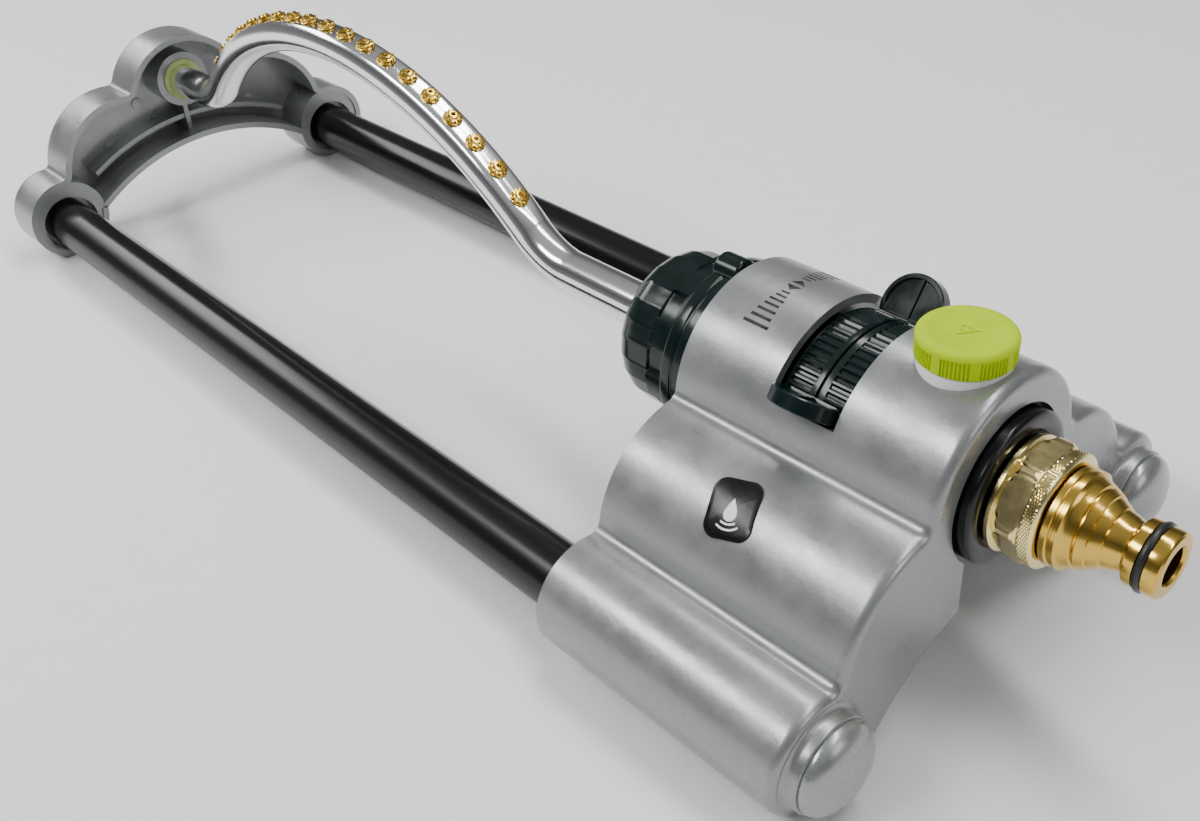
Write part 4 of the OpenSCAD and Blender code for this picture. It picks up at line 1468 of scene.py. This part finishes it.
@dataclass
class CollarAndFlange(Maker):
    """The notched collar and the flange with its lug, both still."""

    lugs: int = 9
    notch: float = 2.0 * MM
    collar_bore: float = 10.1 * MM
    flange_bore: float = 9.7 * MM
    spigot_r: float = 18.7 * MM
    lug_r: float = 4.5 * MM

    def build(self) -> None:
        """Makes both rings."""
        self._collar()
        self._flange()

    def _collar(self) -> None:
        """Makes the collar, with its notches open towards the boot."""
        low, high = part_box("notched_collar")
        outer, length = (high.z - low.z) / 2, high.x - low.x
        steps, cut = 480, self.notch
        end = length * 0.85
        profile = [
            (0.0, outer - 2.1 * MM, 0.0), (0.0, outer - 0.4 * MM, cut * 0.8),
            (0.4 * MM, outer, cut), (end, outer, cut), (end + 0.05 * MM, outer, 0.0),
            (length, outer, 0.0), (length, self.collar_bore, 0.0), (0.0, self.collar_bore, 0.0),
        ]
        made = Mesh()
        made.ring(fluted(profile, steps, block_wave(steps, self.lugs, 0.5, 0.02)), self.axis(low.x))
        piece = self.piece(made, "lugged_collar", "dark_green_plastic", "base", "notched_collar")
        soften(piece, 0.22 * MM)

    def _flange(self) -> None:
        """Makes the flange, its bead and its lug."""
        low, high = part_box("motor_flange")
        length, outer = high.x - low.x, (high.y - low.y) / 2
        show = self.layout.housing_back - low.x
        groove, spigot, bore = outer - 0.35 * MM, self.spigot_r, self.flange_bore
        profile = [
            (0.0, outer - 3.0 * MM), (0.35 * MM, outer - 2.6 * MM), (0.35 * MM, outer - 0.9 * MM),
            (0.9 * MM, outer - 0.3 * MM), (1.5 * MM, outer), (4.2 * MM, outer), (4.5 * MM, groove),
            (5.1 * MM, groove), (5.4 * MM, outer), (show - 2.2 * MM, outer),
            (show - 1.6 * MM, outer), (show + 3.0 * MM, outer), (show + 3.0 * MM, spigot),
            (length, spigot), (length, bore), (0.0, bore),
        ]
        r = self.lug_r
        lug = [
            (0.0, 0.0), (0.0, r - 0.9 * MM), (0.5 * MM, r - 0.1 * MM), (1.0 * MM, r),
            (show - 2.2 * MM, r), (show - 1.6 * MM, r - 0.6 * MM), (show - 1.6 * MM, 0.0),
        ]
        made = Mesh()
        made.ring(turned(profile, 288), self.axis(low.x))
        made.revolve(lug, self.axis(low.x, outer - 1.0 * MM), 48)
        piece = self.piece(made, "flange_ring", "dark_green_plastic", "base", "motor_flange")
        soften(piece, 0.2 * MM)


@dataclass
class RangeRings(Maker):
    """The two ribbed rings that set the spray's range, each with its paddle."""

    ribs: int = 72
    bore: float = 21.3 * MM
    gap: float = 0.3 * MM
    rib_depth: float = 0.5 * MM
    paddle_centre: float = 29.2 * MM
    paddle_r: float = 8.8 * MM
    paddle_width: float = 4.0 * MM
    paddle_reach: float = 9.7 * MM
    clear_of_arch: float = 25.85 * MM

    def build(self) -> None:
        """Makes both rings."""
        self._ring("range_ring_near", "ring_near", -56.0, False)
        self._ring("range_ring_far", "ring_far", 37.0, True)

    def _ring(self, node: str, body: str, angle: float, flip: bool) -> None:
        """Makes one ring with its paddle.

        Args:
            node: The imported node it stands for.
            body: The body it turns with.
            angle: Where its paddle points, from the top towards the far side.
            flip: Whether its bead is on the hose side.
        """
        radius = self.layout.axis_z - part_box(node)[0].z
        near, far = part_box("range_ring_near")[0].x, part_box("range_ring_far")[1].x
        width, middle = (far - near - self.gap) / 2, (near + far) / 2
        start = middle + self.gap / 2 if flip else middle - self.gap / 2 - width
        steps, low, cut = self.ribs * 8, radius - 0.1 * MM, self.rib_depth
        profile = [
            (0.0, radius - 0.5 * MM, 0.0), (0.3 * MM, low, 0.0), (1.0 * MM, low, 0.0),
            (1.1 * MM, low, cut), (width - 2.0 * MM, low, cut), (width - 1.9 * MM, low, 0.0),
            (width - 1.2 * MM, radius, 0.0), (width - 0.3 * MM, radius, 0.0),
            (width, radius - 0.4 * MM, 0.0), (width, self.bore, 0.0), (0.0, self.bore, 0.0),
        ]
        if flip:
            profile = [(width - z, r, c) for z, r, c in profile][::-1]
        made = Mesh()
        wave = block_wave(steps, self.ribs, 0.5, 0.12)
        made.ring(fluted(profile, steps, wave), self.axis(start))
        self._paddle(made, middle, angle, start, width)
        piece = self.piece(made, f"{node}_ribbed", "dark_green_plastic", body, node)
        crease(piece, 40.0)

    def _paddle(
        self, made: Mesh, middle: float, angle: float, start: float, width: float
    ) -> None:
        """Adds the round paddle, its rim, its rib and its stem.

        Args:
            made: The ring's mesh.
            middle: Where its centre is along X.
            angle: Where it points.
            start: Where the ring's width starts.
            width: The ring's width.
        """
        centre_r, r, clear = self.paddle_centre, self.paddle_r, self.clear_of_arch
        half, reach = self.paddle_width / 2, self.paddle_reach
        web = half - 0.7 * MM
        half_gap = math.asin((clear - centre_r) / r)
        turns = np.linspace(half_gap, math.pi - half_gap, 64)
        tilt = Matrix.Rotation(math.radians(-angle), 4, "X")
        lean = Matrix.Translation((0.0, 0.0, self.layout.axis_z)) @ tilt
        rows = []
        for y, share in (
            (-half, 0.86), (-half, 0.97), (-half + 0.3 * MM, 1.0), (half - 0.3 * MM, 1.0),
            (half, 0.97), (half, 0.86), (web, 0.82), (web, 0.0), (-web, 0.0), (-web, 0.82),
        ):
            x = np.clip(middle + r * share * np.cos(turns), middle - reach, middle + reach)
            z = np.maximum(centre_r + r * share * np.sin(turns), clear)
            if share == 0.0:
                z = np.full_like(turns, (centre_r + clear) / 2)
            rows.append(np.stack([x, np.full_like(turns, y), z], axis=1))
        ids = made.grid(moved(np.array(rows), lean))
        made.strip(ids[-1], ids[0])
        for a, b in zip(ids, ids[1:] + ids[:1]):
            made.faces.append((a[0], b[0], b[-1], a[-1]))
        stem = (start + 0.2 * MM, start + width - 0.2 * MM)
        made.block(stem, 1.4 * MM, (23.0 * MM, clear + 0.6 * MM), lean)
        rib = (middle - 0.45 * MM, middle + 0.45 * MM)
        thick = self.paddle_width * 0.46
        made.block(rib, thick, (clear + 0.2 * MM, centre_r + 0.84 * r), lean)


# ---------------------------------------------------------------- hose side


@dataclass
class FlowKnob(Maker):
    """The flow knob, with grip ribs in groups and a faint pointer on top."""

    groups: int = 8
    group_points: int = 80
    teeth: int = 10
    grip: float = 0.5 * MM
    round_r: float = 1.5 * MM
    pointer_angle: float = -62.0

    def build(self) -> None:
        """Makes the knob."""
        low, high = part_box("flow_knob")
        place = Matrix.Translation(((low.x + high.x) / 2, (low.y + high.y) / 2, low.z))
        radius, height = (high.x - low.x) / 2, high.z - low.z
        steps = self.groups * self.group_points
        at = np.arange(steps) * self.groups / steps % 1.0
        ribs = np.clip(0.5 + 1.2 * np.sin(at * 2 * math.pi * self.teeth), 0.0, 1.0)
        wave = np.where((at > 0.12) & (at < 0.88), ribs, 0.0)
        made = Mesh()
        rows = fluted(self._profile(radius, height), steps, wave)
        ids = made.grid(moved(rows, place), closed=True)
        made.faces += [tuple(ids[-1]), tuple(ids[0])]
        pointer = np.array([(-2.6, -2.2), (2.6, -2.2), (0.0, 2.8)]) * MM
        top, base = height - 0.02 * MM, height - 0.3 * MM
        turn = place @ Matrix.Rotation(math.radians(self.pointer_angle), 4, "Z")
        loops = [
            made.add(moved(np.hstack([pointer * size, np.full((3, 1), z)]), turn))
            for size, z in ((1.0, base), (0.96, top), (0.62, top), (0.62, base))
        ]
        for a, b in zip(loops, loops[1:]):
            made.strip(a, b, closed=True)
        crease(self.piece(made, "ribbed_knob", "lime_plastic", "knob", "flow_knob"), 40.0)

    def _profile(self, radius: float, height: float) -> list[tuple[float, float, float]]:
        """Half section of the knob, from the bore's top round to the middle of its top.

        Args:
            radius: The knob's radius.
            height: Its height.

        Returns:
            Places along Z, radii and depths of the grip's cut.
        """
        boss, skirt, flat = 3.2 * MM, radius - 2.0 * MM, radius - self.round_r
        under, dish, tiny = height - 2.0 * MM, height - 0.25 * MM, 0.01 * MM
        profile = [
            (0.6 * MM, tiny, 0.0), (0.6 * MM, 3.0 * MM, 0.0), (0.6 * MM, boss, 0.0),
            (under, boss, 0.0), (under, skirt, 0.0), (0.2 * MM, skirt, 0.0),
            (0.0, radius - 1.7 * MM, 0.0), (0.0, radius - 0.4 * MM, 0.0),
            (0.3 * MM, radius - 0.1 * MM, 0.0), (0.35 * MM, radius - 0.1 * MM, self.grip),
            (height - 2.2 * MM, radius - 0.05 * MM, self.grip), (height - 1.8 * MM, radius, 0.0),
        ]
        for a in np.linspace(0.0, math.pi / 2, 9):
            z = height - 0.15 * MM - self.round_r * (1 - math.sin(a))
            profile.append((z, radius - self.round_r * (1 - math.cos(a)), 0.0))
        return profile + [
            (height, flat - 0.8 * MM, 0.0), (height, flat - 1.6 * MM, 0.0),
            (height - 0.2 * MM, flat - 2.0 * MM, 0.0), (dish, radius * 0.4, 0.0), (dish, tiny, 0.0),
        ]


@dataclass
class HoseFittings(Maker):
    """The inlet's rim, the hexagon nut and the stepped hose connector."""

    rim_r: float = 19.85 * MM
    rim_width: float = 5.6 * MM
    rim_proud: float = 1.35 * MM
    nut_flats: float = 13.5 * MM
    nut_collar: float = 14.9 * MM
    nut_rim: float = 14.6 * MM
    nut_bore: float = 12.68 * MM
    stipple: float = 0.16 * MM
    groove_from_tip: float = 4.6
    steps: int = 144

    def build(self) -> None:
        """Makes all three."""
        self._rim()
        self._nut()
        self._connector()

    def _rim(self) -> None:
        """Rounds the front of the inlet's black flange."""
        outer, width = self.rim_r, self.rim_width
        profile = [
            (self.rim_proud * math.sin(a) ** 0.8, outer - width / 2 * (1 - math.cos(a)))
            for a in np.linspace(0.0, math.pi, 20)
        ]
        profile += [(-1.2 * MM, outer - width), (-1.2 * MM, outer - 0.02 * MM)]
        made = Mesh()
        front = self.layout.housing_front + 2.0 * MM
        made.ring(turned(profile, self.steps), self.axis(front))
        crease(self.piece(made, "inlet_rim", "black_plastic", "base"), 50.0)

    def _nut(self) -> None:
        """Makes the nut: plain collar, chamfered hexagon and a stippled rim."""
        low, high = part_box("hose_nut")
        length, steps = high.x - low.x, 360
        angles = around(steps)
        sixth = math.pi / 3
        hexagon = self.nut_flats / np.cos((angles + sixth / 2) % sixth - sixth / 2)
        collar, rim = self.nut_collar, self.nut_rim
        rows: list[tuple[float, float | np.ndarray]] = [
            (0.0, 13.4 * MM), (0.0, collar - 0.5 * MM), (0.5 * MM, collar), (1.5 * MM, collar),
            (1.9 * MM, collar - 0.7 * MM),
        ]
        for x, r in (
            (2.1, 13.9), (2.9, 14.6), (3.8, 15.3), (7.2, 15.3), (7.9, 14.7), (8.4, 14.1),
        ):
            rows.append((x * MM, np.minimum(r * MM, hexagon)))
        rows.append((8.5 * MM, rim - 0.3 * MM))
        for i, x in enumerate(np.linspace(8.8 * MM, length - 0.7 * MM, 9)):
            bump = self.stipple * np.sin(angles * 60 + (i % 2) * math.pi) * (i % 8 != 0)
            rows.append((x, rim - self.stipple + bump))
        ledge, hole = length - 1.6 * MM, 10.1 * MM
        rows += [
            (length - 0.35 * MM, rim - 0.5 * MM), (length, rim - 1.2 * MM), (length, hole),
            (ledge, hole), (ledge, self.nut_bore), (0.0, self.nut_bore),
        ]
        made = Mesh()
        made.ring(turned(rows, steps), self.axis(low.x))
        crease(self.piece(made, "collared_nut", "pale_brass", "base", "hose_nut"), 26.0)

    def _connector(self) -> None:
        """Makes the connector: stepped cone, neck, barrel and bored tip."""
        low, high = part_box("hose_connector")
        tip = (high.x - low.x) / MM
        front = (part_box("hose_nut")[1].x - low.x) / MM
        groove = tip - self.groove_from_tip
        outline = [(0.0, 4.6), (0.0, 12.3), (0.9, 12.3), (1.0, 10.0)]
        outline += [(front + x, r) for x, r in (
            (0.2, 10.0), (0.3, 11.9), (0.8, 12.4), (2.1, 12.4), (2.5, 11.9), (2.9, 11.9),
            (3.2, 12.3), (4.3, 12.3), (4.8, 11.6), (5.3, 11.2), (7.0, 10.5), (7.3, 9.9),
            (7.7, 9.9), (8.0, 10.1), (9.8, 9.2), (10.0, 8.8), (10.6, 8.6), (12.4, 7.6),
            (12.7, 7.2),
        )]
        outline += [(tip - x, r) for x, r in (
            (10.6, 6.6), (10.0, 6.3), (9.2, 6.2), (8.8, 6.4), (8.4, 7.5), (8.0, 8.05), (7.6, 8.1),
        )]
        outline += [(groove + x, r) for x, r in (
            (-1.15, 8.1), (-1.1, 7.95), (-1.1, 6.7), (1.1, 6.7), (1.1, 7.95), (1.15, 8.1),
        )]
        outline += [(tip - x, r) for x, r in (
            (1.0, 8.1), (0.5, 7.9), (0.1, 7.4), (0.0, 6.9), (0.0, 5.3), (0.2, 4.95), (0.8, 4.6),
        )]
        made = Mesh()
        profile = [(x * MM, r * MM) for x, r in outline]
        made.ring(turned(profile, self.steps), self.axis(low.x))
        piece = self.piece(made, "stepped_connector", "copper_brass", "base", "hose_connector")
        crease(piece, 24.0)


# ---------------------------------------------------------------- markings


@dataclass
class Badge(Maker):
    """The rounded plate on the near shoulder with a plain droplet on it."""

    shoulder: Lobe = Lobe(-28 * MM, 28.5 * MM, 30.5 * MM)
    lobe_angle: float = 37.5
    turn: float = 17.0
    half: tuple[float, float] = (6.7 * MM, 7.7 * MM)
    corner: float = 3.5 * MM
    emblem_foot: float = 0.3 * MM
    emblem_top: float = 0.46 * MM

    def wrap(self, shape: np.ndarray, height: float) -> np.ndarray:
        """Lays a flat shape on the shoulder.

        Args:
            shape: Points along the shoulder and round it.
            height: Height over the shoulder.

        Returns:
            The points in space.
        """
        t = math.radians(self.turn)
        along = shape[:, 0] * math.cos(t) - shape[:, 1] * math.sin(t)
        round_it = shape[:, 0] * math.sin(t) + shape[:, 1] * math.cos(t)
        low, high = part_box("badge")
        a = math.radians(90 + self.lobe_angle) - round_it / self.shoulder.r
        r = self.shoulder.r + height
        y, z = self.shoulder.y + r * np.cos(a), self.shoulder.z + r * np.sin(a)
        return np.stack([(low.x + high.x) / 2 + along, y, z], axis=1)

    def plate(
        self, made: Mesh, shape: np.ndarray, low: float, high: float, inset: float
    ) -> None:
        """Adds a thin raised shape, star-shaped about its middle, that hugs the shoulder.

        Args:
            made: The mesh.
            shape: Its outline.
            low: Height of its foot.
            high: Height of its top.
            inset: Width of the chamfer round its top.
        """
        middle = shape.mean(axis=0)
        size = np.abs(shape - middle).max()
        loops = [made.add(self.wrap(shape, low)), made.add(self.wrap(shape, high - inset / 2))]
        for share in (1.0 - inset / size, 0.8, 0.6, 0.4, 0.2, 0.03):
            loops.append(made.add(self.wrap(middle + (shape - middle) * share, high)))
        for a, b in zip(loops, loops[1:]):
            made.strip(a, b, closed=True)
        made.faces.append(tuple(loops[-1]))

    def build(self) -> None:
        """Makes the plate and its emblem."""
        angles = around(96)
        way = np.stack([np.cos(angles), np.sin(angles)], axis=1)
        sign = np.stack([np.sign(np.cos(angles + 1e-9)), np.sign(np.sin(angles + 1e-9))], axis=1)
        outline = sign * (np.array(self.half) - self.corner) + self.corner * way
        made = Mesh()
        self.plate(made, outline, -0.1 * MM, 0.4 * MM, 0.12 * MM)
        crease(self.piece(made, "badge_plate", "black_plastic", "base", "badge"), 40.0)
        made = Mesh()
        drop = [
            (
                2.5 * MM * math.sin(a) * math.sin(a / 2) ** 1.4,
                2.9 * MM * math.cos(a) - 0.3 * MM,
            )
            for a in around(48)
        ]
        self.plate(made, np.array(drop), self.emblem_foot, self.emblem_top, 0.05 * MM)
        self._ripple(made, 4.2, 0.5, 0.3)
        self._ripple(made, 5.2, 0.62, -0.05)
        emblem = self.piece(made, "badge_emblem", "white_plastic", "base", look="printed_white")
        crease(emblem, 40.0)

    def _ripple(self, made: Mesh, r: float, reach: float, rise: float) -> None:
        """Adds a thin curved bar under the droplet.

        Args:
            made: The emblem's mesh.
            r: The bar's radius in millimetres.
            reach: Half its angle.
            rise: How far its centre is over the plate's, in millimetres.
        """
        turns = np.linspace(-math.pi / 2 - reach, -math.pi / 2 + reach, 20)
        way = np.stack([np.cos(turns), np.sin(turns)], axis=1)
        outer, inner = (way * (r + s) * MM + np.array([0.0, rise * MM]) for s in (0.25, -0.25))
        rows = [
            made.add(self.wrap(edge, height))
            for edge, height in (
                (outer, self.emblem_foot), (outer, self.emblem_top),
                (inner, self.emblem_top), (inner, self.emblem_foot),
            )
        ]
        for a, b in zip(rows, rows[1:]):
            made.strip(a, b)


@dataclass
class Graduations(Maker):
    """The printed bars and pointers on the arch behind the window."""

    at_x: float = 128.0 * MM
    print_top: float = 0.035 * MM
    print_foot: float = -0.15 * MM
    bars: tuple[tuple[float, float, float], ...] = (
        (31.5, 8.0, 0.9), (27.0, 6.4, 0.85), (22.6, 5.8, 0.8), (18.5, 4.7, 0.75),
        (14.8, 4.6, 0.7), (11.3, 3.5, 0.65), (8.0, 2.5, 0.6),
    )

    def _on_arch(self, x: float, angle: float, height: float) -> tuple[float, float, float]:
        """A point on the arch at an angle from its top towards the far side."""
        r = self.layout.arch_r + height
        turn = math.radians(angle)
        return x, r * math.sin(turn), self.layout.axis_z + r * math.cos(turn)

    def _patch(self, made: Mesh, corners: Sequence[tuple[float, float]]) -> None:
        """Adds a thin printed patch with corners given as station and angle.

        Args:
            made: The mesh.
            corners: Three or four corners.
        """
        rim: list[tuple[float, float]] = []
        for a, b in zip(corners, [*corners[1:], corners[0]]):
            for t in np.linspace(0.0, 1.0, 5)[:-1]:
                rim.append((a[0] + (b[0] - a[0]) * t, a[1] + (b[1] - a[1]) * t))
        top, foot = (
            made.add(np.array([self._on_arch(x, a, height) for x, a in rim]))
            for height in (self.print_top, self.print_foot)
        )
        made.strip(foot, top, closed=True)
        made.faces.append(tuple(top))

    def build(self) -> None:
        """Prints the marks."""
        made = Mesh()
        per_mm = math.degrees(1.0 * MM / self.layout.arch_r)
        x, tip = self.at_x, 2.2 * MM
        for side in (-1, 1):
            for angle, length, width in self.bars:
                half, x0, x1 = width * per_mm / 2, x - length / 2 * MM, x + length / 2 * MM
                low, high = side * angle - half, side * angle + half
                self._patch(made, [(x0, low), (x1, low), (x1, high), (x0, high)])
            self._patch(made, [(x - tip, side * 1.2), (x + tip, side * 1.2), (x, side * 5.2)])
        self.piece(made, "range_marks", "painted_casting", "base", look="printed_ink")


# ---------------------------------------------------------------- stage


@dataclass
class Studio:
    """Floor, soft lights and the camera."""

    eye: Vector = Vector((0.3112, -0.2188, 0.2521))
    right: Vector = Vector((0.67250796, 0.73693230, -0.06829216))
    ahead: Vector = Vector((-0.62737987, 0.51870908, -0.58080581))
    lens_mm: float = 38.75
    floor_size: float = 40.0

    def build(self) -> None:
        """Makes the floor, the sky, the lights and the camera."""
        self._floor()
        self._sky()
        middle, foot = Vector((-0.02, 0.0, 0.03)), Vector((-0.15, 0.0, 0.04))
        self._panel("key", (-0.35, -0.75, 0.95), middle, 0.9, 0.3, 11.0)
        self._panel("top_strip", (0.1, 0.35, 1.05), middle, 1.3, 0.16, 9.0)
        self._panel("hose_side", (1.0, 0.15, 0.55), middle, 0.35, 0.5, 1.6)
        self._panel("foot_side", (-1.15, -0.25, 0.75), foot, 0.7, 0.3, 6.0)
        self._camera()

    def _floor(self) -> None:
        """Makes the plain pale floor."""
        made = Mesh()
        half = self.floor_size / 2
        corners = [(-half, -half, 0.0), (half, -half, 0.0), (half, half, 0.0), (-half, half, 0.0)]
        made.faces.append(tuple(made.add(np.array(corners))))
        finish = Finish("pale_floor", (0.86, 0.86, 0.86), 0.9, mottle=0.01, peel_mm=0.0)
        floor = made.build("floor", finish.build())

    def _sky(self) -> None:
        """Fills the room with soft light that is darker towards the horizon."""
        world = bpy.data.worlds.new("room")
        bpy.context.scene.world = world
        world.use_nodes = True
        tree = world.node_tree
        background = tree.nodes["Background"]
        coord = tree.nodes.new("ShaderNodeTexCoord")
        split = tree.nodes.new("ShaderNodeSeparateXYZ")
        ramp = tree.nodes.new("ShaderNodeValToRGB")
        tree.links.new(coord.outputs["Generated"], split.inputs[0])
        tree.links.new(split.outputs["Z"], ramp.inputs["Fac"])
        tree.links.new(ramp.outputs["Color"], background.inputs["Color"])
        stops = ramp.color_ramp.elements
        stops[0].position, stops[0].color = 0.0, (0.55, 0.55, 0.56, 1.0)
        stops[1].position, stops[1].color = 0.85, (1.0, 1.0, 1.0, 1.0)
        middle = stops.new(0.35)
        middle.color = (0.22, 0.225, 0.235, 1.0)
        background.inputs["Strength"].default_value = 0.42

    def _panel(
        self,
        name: str,
        place: tuple[float, float, float],
        target: Vector,
        width: float,
        height: float,
        watts: float,
    ) -> None:
        """Hangs a soft light.

        Args:
            name: Its name.
            place: Where it hangs.
            target: What it faces.
            width: Its longer side.
            height: Its shorter side.
            watts: Its power.
        """
        data = bpy.data.lights.new(name, "AREA")
        data.shape = "RECTANGLE"
        data.size, data.size_y = width, height
        data.energy = watts
        light = bpy.data.objects.new(name, data)
        light.location = place
        light.rotation_euler = (target - Vector(place)).to_track_quat("-Z", "Y").to_euler()
        bpy.context.scene.collection.objects.link(light)

    def _camera(self) -> None:
        """Sets the camera up."""
        data = bpy.data.cameras.new("camera")
        data.lens = self.lens_mm
        data.sensor_width = 36.0
        data.clip_start, data.clip_end = 0.01, 20.0
        camera = bpy.data.objects.new("camera", data)
        back = -self.ahead.normalized()
        right = self.right.normalized()
        up = back.cross(right)
        turn = Matrix((right, up, back)).transposed()
        camera.matrix_world = Matrix.Translation(self.eye) @ turn.to_4x4()
        bpy.context.scene.collection.objects.link(camera)
        bpy.context.scene.camera = camera


# ---------------------------------------------------------------- order of work


def main() -> None:
    """Builds every sub-assembly in order."""
    logging.basicConfig(level=logging.INFO, format="%(name)s: %(message)s")
    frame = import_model()
    palette = Palette()
    palette.dress_nodes(frame)
    layout = Layout.from_frame()
    makers = (
        MotorHousing, EndFoot, EndCaps, SprayTube, NoseBoot, CollarAndFlange, RangeRings,
        FlowKnob, HoseFittings, Badge, Graduations,
    )
    for maker in makers:
        maker(layout, palette).build()
        LOG.info("built %s", maker.__name__)
    Studio().build()
    LOG.info("built the studio")


if __name__ == "__main__":
    main()
